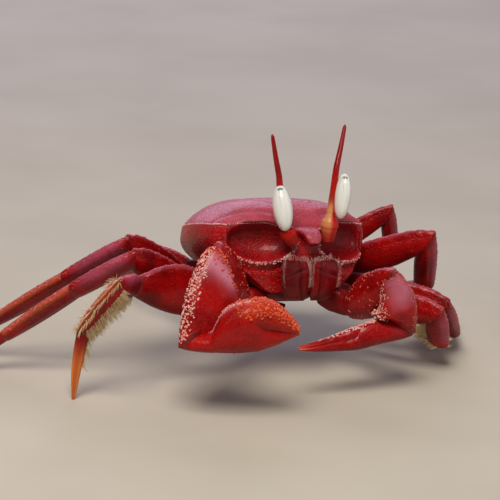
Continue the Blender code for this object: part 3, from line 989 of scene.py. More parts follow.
# Rows of setae on a fringed propodus: place round it, shortest and longest, and how far they droop.
SETAE = (
    (0.95, 1.0, 1.7, 0.0), (0.88, 1.2, 1.9, 0.3), (0.74, 1.5, 2.3, 0.9), (0.56, 2.2, 3.1, 0.8),
    (0.51, 2.2, 3.1, 0.6), (0.05, 1.0, 1.7, 0.0), (0.26, 1.5, 2.3, 0.9), (0.44, 2.2, 3.1, 0.8),
    (0.68, 1.1, 1.8, 0.9), (0.62, 1.3, 2.0, 0.9),
)


def nothing(t: Array, _: Array) -> Array:
    """A mask that is 0 all over."""
    return np.zeros_like(t)


@dataclass
class WalkingLeg:
    """A walking leg of five shell segments, its joint skins and its bristles."""

    name: str
    pose: LegPose
    finishes: Finishes
    scatter: Scatter
    edge: float = 0.03 * LIMB  # how far its ends are rounded
    ends: Span = (0.95, 0.97)  # share of its breadth left at both ends
    knee_drop: float = 0.24  # how far the top is lowered at the knee

    def segments(self) -> dict[str, Segment]:
        """The leg's segments from hip to tip."""
        pose = self.pose
        joints = joint_points(pose.root, pose.lengths, pose.headings, pose.pitches)
        joints[-1] = joints[-1] * (1, 1, 0)
        upper, lower = unit(joints[2] - joints[1]), unit(joints[-1] - joints[2])
        normal = np.cross(upper, lower)
        if np.linalg.norm(normal) < 0.25:
            normal = np.cross(upper, (0, 0, -1))
        normal = unit(normal)
        axes = [unit(joints[i + 1] - joints[i]) for i in range(5)]
        girth = pose.girth * LIMB
        made = {}
        outside = 1.0 if np.cross(normal, axes[1])[2] > 0 else -1.0
        for i, part in enumerate(LEG_PARTS):
            dorsal = np.cross(normal, axes[i]) * (outside if i > 1 else 1.0)
            if dorsal[2] < 0 and i < 2:
                dorsal = np.array([0.0, 0.0, 1.0])
            tall, thick = LEG_SHAPE[part]
            length = float(np.linalg.norm(joints[i + 1] - joints[i]))
            first, last = (self.ends[0], 1.0) if part == "dactyl" else self.ends
            plain = rounded(blended(*tall, girth / 2), length, self.edge, first, last)
            deeper, taller = pose.broad if part == "merus" else (0.0, 0.0)
            knee = KNEES.get(part, (2.0, 3.0))

            def low(t: Array, plain: Profile = plain, more: float = deeper) -> Array:
                """The lower edge at t."""
                return -plain(t) * (1 + more * arch(t))

            def high(t: Array, plain: Profile = plain, more: float = taller, knee: Span = knee) -> Array:
                """The upper edge at t."""
                swell = plain(t) * (1 + more * arch(t))
                return swell * (1 - self.knee_drop * ramp(t, *knee) ** 1.6)

            made[part] = Segment(
                joints[i],
                joints[i + 1],
                dorsal,
                low=low,
                high=high,
                thick=rounded(blended(*thick, girth), length, self.edge, first, last),
                before=axes[i - 1] if i else None,
                after=axes[i + 1] if i < 4 else None,
                keel=0.35 if part == "merus" else 0.12,
                bow=0.02 * length if part == "dactyl" else 0.0,
            )
        return made

    def relief(self, part: str) -> Relief:
        """Ridges and grooves of one segment."""
        size = self.pose.girth

        def read(t: Array, a: Array) -> Array:
            """Height at t along and a round the segment."""
            middle = arch(t) ** 0.5
            wrinkle = 0.05 * np.sin(t * 60 + 2.2 * np.sin(3 * a)) * np.maximum(0, np.cos(a)) ** 2
            if part == "merus":
                return size * (wrinkle * 1.6 - 0.22 * bump(np.abs(a - pi), pi / 2 + 0.55, 0.14) * middle)
            if part in ("carpus", "propodus"):
                groove = bump(np.abs(a - pi), pi / 2 + 0.25, 0.22)
                groove = groove + 0.7 * bump(np.abs(a - pi), pi / 2 - 0.45, 0.2)
                return size * (wrinkle - 0.20 * groove * middle)
            if part == "dactyl":
                flutes = np.cos(6 * a) * 0.10 * middle * (1 - 0.6 * t)
                return size * flutes
            return size * 0.03 * np.sin(9 * t)

        return read

    def masks(self, part: str) -> dict[str, Relief]:
        """Where one segment is pale with painted sheen, orange, or dark with painted shade."""
        rim = lambda a: upward(a, 0.80, 1.0)
        sheen = lambda a: upward(a, 0.0, 0.75)
        flute = lambda a: 0.62 + 0.38 * ramp(np.cos(3 * a), -0.6, 0.4)
        ends = lambda t: np.maximum(bump(t, 0.0, 0.025), bump(t, 1.0, 0.025))
        # pale: painted sheen along the upper edges and over the upper side of the carpus
        pale = {
            "merus": lambda t, a: 0.45 * rim(a) * ramp(t, 0.1, 0.5),
            "carpus": lambda t, a: 0.55 * sheen(a) * ramp(t, 0.0, 0.25) * ramp(t, 1.0, 0.6),
            "propodus": lambda t, a: 0.35 * rim(a),
        }
        tip = {
            "propodus": lambda t, a: 0.30 * upward(a, 0.45, 1.0),
            "dactyl": lambda t, a: 0.95 * ramp(t, 0.08, 0.55) * flute(a),
        }
        # deep: painted shade at both ends where segments meet, on the underside and over the whole hip
        under = 0.3 if part == "hip" else 0.0
        deep = lambda t, a: 0.30 * ends(t) + 0.40 * upward(a, 0.0, -0.9) + under
        return {"pale": pale.get(part, nothing), "tip": tip.get(part, nothing), "deep": deep}

    def build(self) -> None:
        """Builds the leg's segments, joint skins and bristles."""
        parts = self.segments()
        skins: dict[str, Skin] = {}
        for part, segment in parts.items():
            rows, columns = (24, 28) if part == "hip" else (64, 40)
            skins[part] = segment.skin(rows, columns, self.masks(part), self.relief(part))
            if part == "dactyl":
                skins[part].points[..., 2] = np.maximum(skins[part].points[..., 2], 0.0)
            dress(
                f"{self.name}_{part}_shell", skins[part], self.finishes.limb, "leg", f"{self.name}_{part}"
            )
        for near, far in zip(LEG_PARTS[:-1], LEG_PARTS[1:]):
            skin = joint_skin(parts[near], parts[far])
            dress(f"{self.name}_{near}_{far}_joint", skin, self.finishes.joint, "leg")
        self.build_bristles(skins)

    def build_bristles(self, skins: Mapping[str, Skin]) -> None:
        """Rows of bristles on the outer three segments, and granules over the leg and on its upper edge."""
        seed, rows = sum(map(ord, self.name)), []
        if self.pose.fringed:
            under = -self.segments()["propodus"].dorsal
            for k, (column, low, high, droop) in enumerate(SETAE):
                count, lift = 48 if low > 2 else 60, tuple(under * droop)
                spots = (skins["propodus"], (0.05, 0.97), column, count, (low, high), seed + k, 0.010, 0.0)
                rows.append(Roots.along(*spots, lift, 0.35))
            for k, column in enumerate((0.46, 0.54)):
                claw = (skins["dactyl"], (0.06, 0.50), column, 44, (1.3, 2.4), seed + 12 + k, 0.012, 0.0)
                wrist = (skins["carpus"], (0.25, 0.97), column, 40, (1.5, 2.6), seed + 16 + k, 0.016, 0.0)
                rows += [Roots.along(*claw, comb=0.9), Roots.along(*wrist, comb=0.5)]
        for k, column in enumerate((0.46, 0.54)):
            spots = (skins["propodus"], (0.1, 0.95), column, 26, (0.5, 1.0), seed + 20 + k, 0.01, 0.0)
            rows.append(Roots.along(*spots, comb=0.8))
        beads = []
        for part, count in (("merus", 190), ("carpus", 90), ("propodus", 80)):
            weight = ramp(np.cos(angles(skins[part].points.shape[1])), 0.2, 1.0)[None, :] ** 2 + 0.02
            beads.append(Roots.scattered(skins[part], weight, count, (0.10, 0.22), seed + len(beads)))
        edge = [
            Roots.along(skins["propodus"], (0.03, 0.97), 0.0, 110, (0.16, 0.34), seed + 30, 0.035),
            Roots.along(skins["carpus"], (0.10, 0.90), 0.0, 34, (0.12, 0.22), seed + 31, 0.020),
            Roots.along(skins["merus"], (0.15, 0.92), 0.0, 46, (0.14, 0.24), seed + 32, 0.008),
        ]
        for tag, kind, roots, finish, stretch, bend in (
            ("bristles", Scattered.BRISTLE, rows, self.finishes.bristle, 1.0, 0.18),
            ("granules", Scattered.BEAD, beads, self.finishes.red_bead, 0.8, 0.0),
            ("edge_granules", Scattered.BEAD, edge, self.finishes.coral_bead, 0.9, 0.0),
        ):
            self.scatter.grow("leg", f"{self.name}_{tag}", kind, roots, finish, stretch, bend)


def joint_skin(near: Segment, far: Segment) -> Skin:
    """The folded soft skin between two segments, a little thinner than both."""
    t, a = np.meshgrid(np.linspace(0, 1, 15), angles(28), indexing="ij")
    inner = near.at(np.full(28, 0.965), a[0])
    outer = far.at(np.full(28, 0.035), a[0])
    middle = near.end
    shift = int(
        np.argmin([np.linalg.norm(inner - np.roll(outer, k, axis=0), axis=1).sum() for k in range(28)])
    )
    outer = np.roll(outer, shift, axis=0)
    inner, outer = middle + (inner - middle) * 0.975, middle + (outer - middle) * 0.975
    share = t[..., None]
    points = inner * (1 - share) + outer * share
    core = points.mean(axis=1, keepdims=True)
    folds = 1 + 0.02 * np.cos(t * 8 * pi)[..., None]
    return Skin.over(core + (points - core) * folds)


# ---------------------------------------------------------------- claws
Rows = tuple[tuple[float, float, float, float], ...]


@dataclass(frozen=True)
class ClawPose:
    """Where a claw's arm begins, how its segments lie and the profiles of its outer parts.

    Profile rows give a station along the part, its lower and upper edge and its thickness, as
    shares of the part's length. The hand and the finger share one axis.
    """

    side: Side
    root: Point
    lengths: tuple[float, ...]
    headings: tuple[float, ...]
    pitches: tuple[float, ...]
    carpus_dorsal: Point
    hand_dorsal: Point
    carpus: Rows
    palm: Rows
    finger: Rows


MAJOR_CLAW = ClawPose(
    Side.RIGHT,
    (-0.20, -0.27, -0.41),
    (0.18, 0.48, 0.44, 0.58),
    (-158, -144, -144, -30),
    (3, 45, -55, 5),
    (-1.0, 0.0, 0.10),
    (-0.05, -0.05, 1.0),
    carpus=(
        (0.0, -0.14, 0.12, 0.20), (0.06, -0.27, 0.21, 0.28), (0.22, -0.45, 0.29, 0.34),
        (0.45, -0.54, 0.31, 0.35), (0.68, -0.50, 0.29, 0.33), (0.88, -0.36, 0.25, 0.29),
        (1.0, -0.20, 0.19, 0.22),
    ),
    palm=(
        (0.0, -0.12, 0.03, 0.20), (0.06, -0.15, 0.03, 0.27), (0.14, -0.17, 0.035, 0.34),
        (0.19, -0.175, 0.12, 0.36), (0.25, -0.18, 0.22, 0.38), (0.34, -0.18, 0.29, 0.39),
        (0.45, -0.18, 0.325, 0.39), (0.56, -0.178, 0.335, 0.38), (0.60, -0.175, 0.25, 0.36),
        (0.66, -0.155, 0.17, 0.32), (0.80, -0.115, 0.095, 0.24), (0.92, -0.065, 0.045, 0.14),
        (1.0, -0.03, 0.01, 0.05),
    ),
    finger=(
        (0.48, 0.12, 0.28, 0.28), (0.57, 0.09, 0.336, 0.37), (0.64, 0.060, 0.345, 0.36),
        (0.75, 0.030, 0.310, 0.31), (0.88, 0.000, 0.215, 0.22), (0.96, -0.008, 0.115, 0.13),
        (1.0, -0.010, 0.055, 0.06),
    ),
)
MINOR_CLAW = ClawPose(
    Side.LEFT,
    (0.20, -0.28, -0.40),
    (0.19, 0.44, 0.27, 0.66),
    (-37, -87, -17, 169),
    (-16, 32, -66, -7),
    (0.85, -0.40, 0.20),
    (-0.10, 0.55, 1.0),
    carpus=(
        (-0.16, -0.10, 0.12, 0.26), (-0.04, -0.24, 0.28, 0.46), (0.10, -0.32, 0.38, 0.58),
        (0.35, -0.42, 0.46, 0.70), (0.60, -0.52, 0.42, 0.72), (0.82, -0.50, 0.32, 0.60),
        (1.0, -0.32, 0.20, 0.40),
    ),
    palm=(
        (0.0, -0.06, 0.06, 0.07), (0.05, -0.10, 0.10, 0.11), (0.18, -0.12, 0.108, 0.15),
        (0.34, -0.125, 0.085, 0.155), (0.45, -0.13, 0.066, 0.13), (0.47, -0.13, 0.0, 0.14),
        (0.60, -0.12, -0.020, 0.12), (0.76, -0.10, -0.026, 0.09), (0.92, -0.07, -0.024, 0.06),
        (1.0, -0.045, -0.018, 0.02),
    ),
    finger=(
        (0.40, -0.02, 0.065, 0.10), (0.46, -0.03, 0.068, 0.135), (0.51, -0.045, 0.063, 0.14),
        (0.60, -0.052, 0.044, 0.11), (0.76, -0.056, 0.018, 0.085), (0.92, -0.046, 0.002, 0.055),
        (0.995, -0.030, -0.004, 0.02),
    ),
)
ARM_SHAPE = {
    "hip": ((0.13, 0.15, 0.14), (0.12, 0.13, 0.12)),
    "merus": ((0.15, 0.26, 0.19), (0.12, 0.16, 0.13)),
}


def table_profile(rows: Rows, column: int, scale: float) -> Profile:
    """A smooth profile through one column of a claw table, in millimetres."""
    stations = [row[0] for row in rows]
    return lambda t: through(stations, [row[column] * scale for row in rows], t)


@dataclass
class Claw:
    """One claw: its arm, wrist, hand and movable finger, with granules, teeth and joint skins."""

    pose: ClawPose
    finishes: Finishes
    scatter: Scatter
    edge: float = 0.04 * LIMB  # how far the ends of its arm are rounded
    ends: Span = (0.86, 0.9)  # share of their breadth left at both ends

    def __post_init__(self) -> None:
        """Names the claw after its side."""
        self.name = f"claw_{self.pose.side.name.lower()}"
        self.major = self.pose is MAJOR_CLAW

    def segments(self) -> dict[str, Segment]:
        """The claw's segments from hip to finger."""
        pose = self.pose
        joints = joint_points(pose.root, pose.lengths, pose.headings, pose.pitches)
        axes = [unit(joints[i + 1] - joints[i]) for i in range(4)]
        made = {}
        for i, part in enumerate(("hip", "merus")):
            tall, thick = ARM_SHAPE[part]
            length = float(np.linalg.norm(joints[i + 1] - joints[i]))
            half = rounded(blended(*tall, LIMB / 2), length, self.edge, *self.ends)
            made[part] = Segment(
                joints[i],
                joints[i + 1],
                np.array([0.0, 0.0, 1.0]),
                low=lambda t, half=half: -half(t),
                high=half,
                thick=rounded(blended(*thick, LIMB), length, self.edge, *self.ends),
                before=axes[i - 1] if i else None,
                after=axes[i + 1],
                power=0.8,
                keel=0.2,
            )
        for part, rows, first, dorsal, power in (
            ("carpus", pose.carpus, 2, pose.carpus_dorsal, 0.8),
            ("palm", pose.palm, 3, pose.hand_dorsal, 0.85),
            ("finger", pose.finger, 3, pose.hand_dorsal, 0.85),
        ):
            length = float(np.linalg.norm(joints[first + 1] - joints[first]))
            made[part] = Segment(
                joints[first],
                joints[first + 1],
                np.array(dorsal),
                low=table_profile(rows, 1, length),
                high=table_profile(rows, 2, length),
                thick=table_profile(rows, 3, length),
                before=None if part == "finger" else axes[first - 1],
                after=axes[3] if part == "carpus" else None,
                power=power,
                heel=0.15 if part == "palm" and self.major else 0.45,
                trim=1.2 if part == "carpus" and self.major else 100.0,
            )
        return made

    def relief(self, part: str) -> Relief:
        """Swellings, dimples and grooves of one part."""
        size = 1.0 if self.major else 0.7

        def read(t: Array, a: Array) -> Array:
            """Height at t along and a round the part."""
            waves = 0.10 * np.sin(9 * t + 3 * np.cos(a)) + 0.06 * np.sin(17 * t - 2 * np.sin(2 * a))
            if part == "merus":
                return size * (waves - 0.25 * bump(np.cos(a), 0.55, 0.12) * arch(t))
            if part == "carpus":
                swell = 0.35 * bump(t, 0.35, 0.3) * bump(np.cos(a), 0.0, 0.5)
                return size * (waves + swell - 0.25 * bump(t, 0.9, 0.05))
            if part == "palm":
                seam = bump(t, 0.56, 0.02) * upward(a, 0.0, 0.6)
                return size * (waves - 0.15 * seam)
            if part == "finger":
                grooves = bump(np.cos(a), 0.25, 0.14) * ramp(t, 0.62, 0.75)
                return size * (0.5 * waves - 0.25 * grooves)
            return size * waves

        return read

    def masks(self, part: str) -> dict[str, Relief]:
        """Where one part is pale with painted sheen, orange, or dark with painted shade."""
        back = -1.0 if self.major else 1.0  # which way round it the wrist looks forwards
        rim = lambda a: bump(np.minimum(a, 2 * pi - a), 0.0, 0.20)
        front = lambda a, low, high: ramp(back * np.sin(a), low, high)
        if self.major:
            sheen = lambda t, a: 0.85 * bump(t, 0.20, 0.10) * front(a, 0.45, 0.80) * upward(a, -0.5, -0.1)
            upper = lambda t, a: 0.40 * upward(a, 0.3, 0.95) * ramp(t, 0.34, 0.55)
            tips = {
                "palm": lambda t, a: upper(t, a) + 0.4 * ramp(t, 0.9, 1.0),
                "finger": lambda t, a: 0.45 * upward(a, -0.3, 0.8) + 0.3 * ramp(t, 0.9, 1.0),
            }
        else:
            sheen = lambda t, a: 0.55 * ramp(t, 0.60, 0.25) * front(a, 0.0, 0.5) * upward(a, -0.5, 0.3)
            tips = {
                "palm": lambda t, a: 0.5 * ramp(t, 0.88, 1.0),
                "finger": lambda t, a: 0.6 * ramp(t, 0.86, 1.0),
            }
        # pale: painted sheen on the wrist and on the arm's top, and a pale band along the hand's upper edge
        pale = {
            "carpus": sheen,
            "palm": lambda t, a: 0.70 * rim(a) * ramp(t, 0.10, 0.16) * ramp(t, 0.62, 0.50),
            "merus": lambda t, a: 0.35 * upward(a, 0.80, 1.0),
        }
        # deep: painted shade underneath, at the near end and over the whole hip
        below = 0.0 if part == "carpus" else 0.35
        shade = 0.45 if part == "hip" else 0.0
        return {
            "pale": pale.get(part, nothing),
            "tip": tips.get(part, nothing),
            "deep": lambda t, a: shade + 0.35 * bump(t, 0.0, 0.03) + below * upward(a, 0.0, -1.0),
        }

    def build(self) -> None:
        """Builds the claw's pieces."""
        parts = self.segments()
        skins: dict[str, Skin] = {}
        spans = {"finger": (self.pose.finger[0][0], self.pose.finger[-1][0])}
        for part, segment in parts.items():
            skins[part] = segment.skin(
                30 if part == "hip" else 96,
                28 if part == "hip" else 64,
                self.masks(part),
                self.relief(part),
                spans.get(part, (0.0, 1.0)),
            )
            dress(
                f"{self.name}_{part}_shell", skins[part], self.finishes.claw, "claw", f"{self.name}_{part}"
            )
        for near, far in (("hip", "merus"), ("merus", "carpus"), ("carpus", "palm")):
            skin = joint_skin(parts[near], parts[far])
            dress(f"{self.name}_{near}_{far}_joint", skin, self.finishes.joint, "claw")
        self.build_granules(skins)
        self.build_teeth(skins)

    def build_granules(self, skins: Mapping[str, Skin]) -> None:
        """Granules: a band on the wrist's margin, a fine rim on the hand and spiny ones over the fingers."""
        major, seed = self.major, 40 if self.major else 60
        big = 1.0 if major else 0.75
        around = angles(64)[None, :]
        up, front = np.cos(around), np.sin(around) * (1.0 if major else -1.0)
        margin = up if major else -up
        t = np.linspace(0, 1, 106)[:, None]
        edge = (0.55, 0.9) if major else (0.1, 0.7)
        band = ramp(margin, *edge) * ramp(-front, -0.3, 0.1) * ramp(t, 0.98, 0.85)
        crown = ramp(t, 0.32, 0.12) * ramp(-front, -0.2, 0.4)
        spiny = ramp(up, 0.45, 0.95) * ramp(t, 0.38, 0.50) * ramp(t, 0.70, 0.62) + 0.004
        hand, wrist, arm, finger = (skins[part] for part in ("palm", "carpus", "merus", "finger"))
        outer = ramp(-margin, 0.55, 0.95) + 0.5 * crown
        upper = ramp(up, 0.3, 1.0) + 0.6 * ramp(-up, 0.2, 0.9) + 0.3
        everywhere, finishes = np.ones((1, 64)), self.finishes
        pale = [
            Roots.scattered(wrist, band, 430 if major else 260, (0.13 * big, 0.34 * big), seed),
            Roots.along(hand, (0.13, 0.56), 0.0, 110, (0.11 * big, 0.20 * big), seed + 2, 0.006),
            Roots.along(hand, (0.08, 0.55), 0.97, 60, (0.16 * big, 0.34 * big), seed + 3, 0.020),
        ]
        coral = [
            Roots.scattered(wrist, outer, 170, (0.20 * big, 0.40 * big), seed + 4),
            Roots.scattered(arm, upper, 240, (0.14, 0.32), seed + 5),
        ]
        red = [
            Roots.scattered(hand, everywhere, 150, (0.10 * big, 0.18 * big), seed + 6, 0.5),
            Roots.scattered(wrist, everywhere, 90, (0.10 * big, 0.20 * big), seed + 7, 0.5),
        ]
        if major:
            over = ramp(up, -0.1, 0.8) * ramp(t, 0.1, 0.3)
            orange = [
                Roots.scattered(finger, over, 420, (0.20, 0.40), seed + 8),
                Roots.scattered(hand, spiny, 190, (0.18, 0.36), seed + 9),
                Roots.scattered(wrist, crown, 90, (0.18, 0.34), seed + 10),
            ]
            last = ("orange", orange, finishes.orange_bead, 1.6)
        else:
            over = ramp(up, 0.3, 0.9) * ramp(t, 0.75, 0.5)
            knuckle = ramp(up, 0.5, 0.95) * ramp(t, 0.5, 0.42) * ramp(t, 0.03, 0.1)
            white = [
                Roots.scattered(finger, over, 190, (0.16, 0.34), seed + 8),
                Roots.scattered(hand, knuckle, 230, (0.16, 0.34), seed + 9),
            ]
            last = ("white", white, finishes.pale_bead, 1.1)
        for tag, roots, finish, stretch in (
            ("pale", pale, finishes.pale_bead, 0.9),
            ("coral", coral, finishes.coral_bead, 1.0),
            ("red", red, finishes.red_bead, 0.7),
            last,
        ):
            self.scatter.grow("claw", f"{self.name}_{tag}_granules", Scattered.BEAD, roots, finish, stretch)

    def build_teeth(self, skins: Mapping[str, Skin]) -> None:
        """Blunt teeth along both cutting edges and along the wrist's inner edge."""
        seed = 80 if self.major else 90
        big = 1.0 if self.major else 0.6
        teeth = [
            Roots.along(skins["palm"], (0.66, 0.97), 0.0, 12, (0.20 * big, 0.32 * big), seed, 0.0),
            Roots.along(skins["finger"], (0.30, 0.95), 0.5, 11, (0.20 * big, 0.30 * big), seed + 1, 0.0),
            Roots.along(skins["carpus"], (0.22, 0.80), 0.5, 13, (0.30 * big, 0.55 * big), seed + 2, 0.006),
        ]
        self.scatter.grow("claw", f"{self.name}_teeth", Scattered.BEAD, teeth, self.finishes.pale_bead, 1.5)


# ---------------------------------------------------------------- the body shell
@dataclass(frozen=True)
class ShellTable:
    """Stations of the carapace along its own y, in widths.

    Each row: y, half width at the margin, height of the margin, rise of the dome, depth of the
    side wall and half width at its lower edge.
    """

    rows: tuple[tuple[float, ...], ...] = (
        (-0.400, 0.452, 0.008, 0.012, 0.388, 0.20),
        (-0.365, 0.470, 0.010, 0.055, 0.385, 0.22),
        (-0.310, 0.485, 0.008, 0.102, 0.345, 0.25),
        (-0.240, 0.495, 0.006, 0.130, 0.285, 0.31),
        (-0.130, 0.500, 0.004, 0.145, 0.255, 0.36),
        (0.000, 0.494, -0.002, 0.150, 0.245, 0.375),
        (0.140, 0.470, -0.012, 0.142, 0.230, 0.355),
        (0.270, 0.415, -0.032, 0.122, 0.205, 0.30),
        (0.370, 0.335, -0.060, 0.092, 0.170, 0.23),
        (0.425, 0.265, -0.085, 0.056, 0.130, 0.18),
        (0.440, 0.225, -0.100, 0.028, 0.090, 0.15),
    )
    front: float = -0.40
    front_dip: float = 0.045
    orbit_centre: Span = (0.270, -0.088)
    orbit_radii: Span = (0.186, 0.115)
    orbit_depth: float = 0.120

    def at(self, y: Array, column: int) -> Array:
        """One column's value at y."""
        return through([row[0] for row in self.rows], [row[column] for row in self.rows], y)

    def orbit_reach(self, x: Array, z: Array) -> Array:
        """Distance from the middle of the nearer eye hollow: 1 on its rim."""
        across = (np.abs(x) - self.orbit_centre[0]) / self.orbit_radii[0]
        up = (z - self.orbit_centre[1]) / self.orbit_radii[1]
        return np.sqrt(across**2 + up**2)


@dataclass
class Carapace:
    """The body shell: its domed back, side walls and face with two eye hollows, and its granules."""

    finishes: Finishes
    scatter: Scatter
    table: ShellTable = field(default_factory=ShellTable)
    across: int = 132
    down: int = 48
    along: int = 96
    rounds: int = 24  # how often its margins are smoothed
    seed: int = 7  # of its granules

    def near_front(self, y: Array) -> Array:
        """1 at the front margin, 0 behind the front region."""
        return np.maximum(0, 1 - (y - self.table.front) / 0.15)

    def lean(self, y: Array | float, x: Array, s: Array | float) -> Array:
        """How far the front leans back at a share s of its height."""
        edge = 0.150 * (np.abs(x) / 0.47) ** 2 - 0.045
        return self.near_front(y) * (edge * (1 - s) + 0.02 * s)

    def dip(self, y: Array, x: Array) -> Array:
        """How far the front of the back is bent down at x."""
        return self.near_front(y) * self.table.front_dip * np.maximum(0, 1 - (x / 0.24) ** 2) ** 1.3

    def sections(self) -> tuple[Array, Array]:
        """Rings round the body from front to rear, in widths, and their place round the ring.

        Returns:
            Points (rows, columns, 3) and per column a mark: 0 the back, 1 the walls, 2 the underside.
        """
        first, last = self.table.rows[0][0], self.table.rows[-1][0]
        y = first + (last - first) * np.linspace(0, 1, self.along) ** 1.15
        half, level, rise, depth, foot = (self.table.at(y, c)[:, None] for c in range(1, 6))
        y = y[:, None]
        u = np.linspace(-1, 1, self.across + 1)[None, :]
        s = (np.arange(1, self.down + 1) / self.down)[None, :]
        dome = level + rise * (1 - np.abs(u) ** 3.2) - self.dip(y, half * u)
        back = stacked(half * u, y + self.lean(y, half * u, 0.0), dome)
        wall_x = half + (foot - half) * s**2.8 + 0.020 * np.sin(pi * s) * ramp(y, -0.40, -0.2)
        wall = stacked(wall_x, y + self.lean(y, half, s), level - depth * s)
        v = np.linspace(1, -1, self.across + 1)[None, 1:-1]
        belly = stacked(foot * v, y + self.lean(y, 0 * v, 1.0), level - depth)
        other = wall[:, ::-1] * np.array([-1, 1, 1])
        marks = np.repeat([0, 1, 2, 1], [self.across + 1, self.down, self.across - 1, self.down])
        return np.concatenate([back, wall, belly, other], axis=1), marks

    def face(self) -> Array:
        """Inner points of the face in widths, row by row downwards."""
        y, half, level, rise, depth, foot = self.table.rows[0]
        v = (np.arange(1, self.down) / self.down)[:, None]
        u = np.linspace(-1, 1, self.across + 1)[None, 1:-1]
        x = u * (half + (foot - half) * v**2.8)
        z = level + (rise * (1 - np.abs(u) ** 3.2) - self.dip(y, x)) * (1 - v) - depth * v
        forward = 0.030 * (1 - u * u) * np.sin(pi * v)
        reach = self.table.orbit_reach(x, z)
        hollow = self.table.orbit_depth * np.maximum(0, 1 - reach**2) ** 0.6
        across = (np.abs(x) - self.table.orbit_centre[0]) / self.table.orbit_radii[0]
        rim = 0.016 * bump(reach, 1.05, 0.11) * ramp(v, 0.03, 0.25) * ramp(across, -1.1, -0.4)
        channel = 0.014 * bump(reach, 1.42, 0.12) * ramp(z, -0.13, -0.2) * ramp(np.abs(x), 0.10, 0.2)
        cheek = 0.010 * bump(np.abs(x), 0.30, 0.10) * bump(z, -0.29, 0.07)
        return stacked(x, y + self.lean(y, x, v) - forward + hollow - rim + channel - cheek, z)

    def relief(self, points: Array) -> Array:
        """Height of the back's regions over the plain dome, in millimetres.

        Args:
            points: body points in widths.

        Returns:
            The height at each.
        """
        x, y = np.abs(points[..., 0]), points[..., 1]
        top = ramp(points[..., 2], -0.06, 0.03)
        side = 0.125 + 0.05 * np.sin((y + 0.30) * 7.5)
        long_groove = bump(x, side, 0.013) * ramp(y, -0.33, -0.2) * ramp(y, 0.36, 0.22)
        neck = bump(y, 0.02 + 0.25 * x - 0.4 * x**2, 0.012) * ramp(x, 0.40, 0.05)
        heart = bump(y, 0.23 - 0.5 * x, 0.012) * ramp(x, 0.16, 0.08)
        brow = bump(y - 0.150 * (x / 0.47) ** 2 + 0.045, -0.335, 0.02) * ramp(x, 0.08, 0.14)
        swell = 0.5 * bump(x, 0.33, 0.13) * bump(y, 0.05, 0.24)
        swell = swell + 0.3 * bump(x, 0.0, 0.10) * bump(y, -0.18, 0.12)
        return top * (swell - 0.38 * long_groove - 0.32 * neck - 0.28 * heart - 0.22 * brow)

    def build(self) -> None:
        """Builds the shell, its front lobe and its granules."""
        rings, marks = self.sections()
        face = self.face()
        rows, columns = rings.shape[:2]
        flat = np.concatenate([rings.reshape(-1, 3), face.reshape(-1, 3)])
        place = BODY.place(flat)
        count = rows * columns
        index = np.arange(count).reshape(rows, columns)
        onward = np.roll(index, -1, axis=1)
        quads = np.stack([index[:-1], index[1:], onward[1:], onward[:-1]], axis=-1).reshape(-1, 4)
        a, d = self.across, self.down
        net = np.empty((d + 1, a + 1), int)
        net[0] = index[0, : a + 1]
        net[:, a] = index[0, a : a + d + 1]
        net[d] = index[0, a + d : 2 * a + d + 1][::-1]
        net[:, 0] = np.concatenate([[index[0, 0]], index[0, 2 * a + d :][::-1]])[: d + 1]
        net[1:d, 1:a] = count + np.arange((d - 1) * (a - 1)).reshape(d - 1, a - 1)
        front = np.stack([net[:-1, :-1], net[1:, :-1], net[1:, 1:], net[:-1, 1:]], axis=-1).reshape(-1, 4)
        rear = len(place)
        place = np.concatenate([place, [place[index[-1]].mean(axis=0)]])
        flat = np.concatenate([flat, [flat[index[-1]].mean(axis=0)]])
        fan = [(rear, int(onward[-1, c]), int(index[-1, c])) for c in range(columns)]
        faces = [tuple(q) for q in np.concatenate([quads, front]).tolist()] + fan
        inner = len(place) - count
        column = np.concatenate([np.tile(np.arange(columns), rows), np.full(inner, -99)])
        line = np.concatenate([np.repeat(np.arange(rows), columns), np.zeros(inner, int)])
        kind = np.concatenate([np.tile(marks, rows), np.full(inner, 3)])
        side = np.minimum(np.abs(column), np.abs(column - a))
        weight = 0.5 * np.exp(-((side / 2.5) ** 2)) + (kind == 1) * 0.9 * np.exp(-line / 7.0)
        weight = np.maximum(weight, (kind == 3) * ramp(np.abs(flat[:, 0]), 0.40, 0.45))
        weight = np.maximum(weight, 0.35 * (kind == 0) * (line < 2))
        place = relaxed(place, np.concatenate([quads, front]), weight, self.rounds)
        normals = vertex_normals(place, faces)
        place = place + normals * self.relief(flat)[:, None]
        shell = new_object("carapace_shell", place, faces)
        for name, value in self.masks(flat, kind).items():
            store(shell.data, name, value)
        shell.data.materials.append(self.finishes.shell)
        settle(shell, "shell", "carapace")
        self.build_lobe()
        self.build_granules(place, normals, flat, net, index)

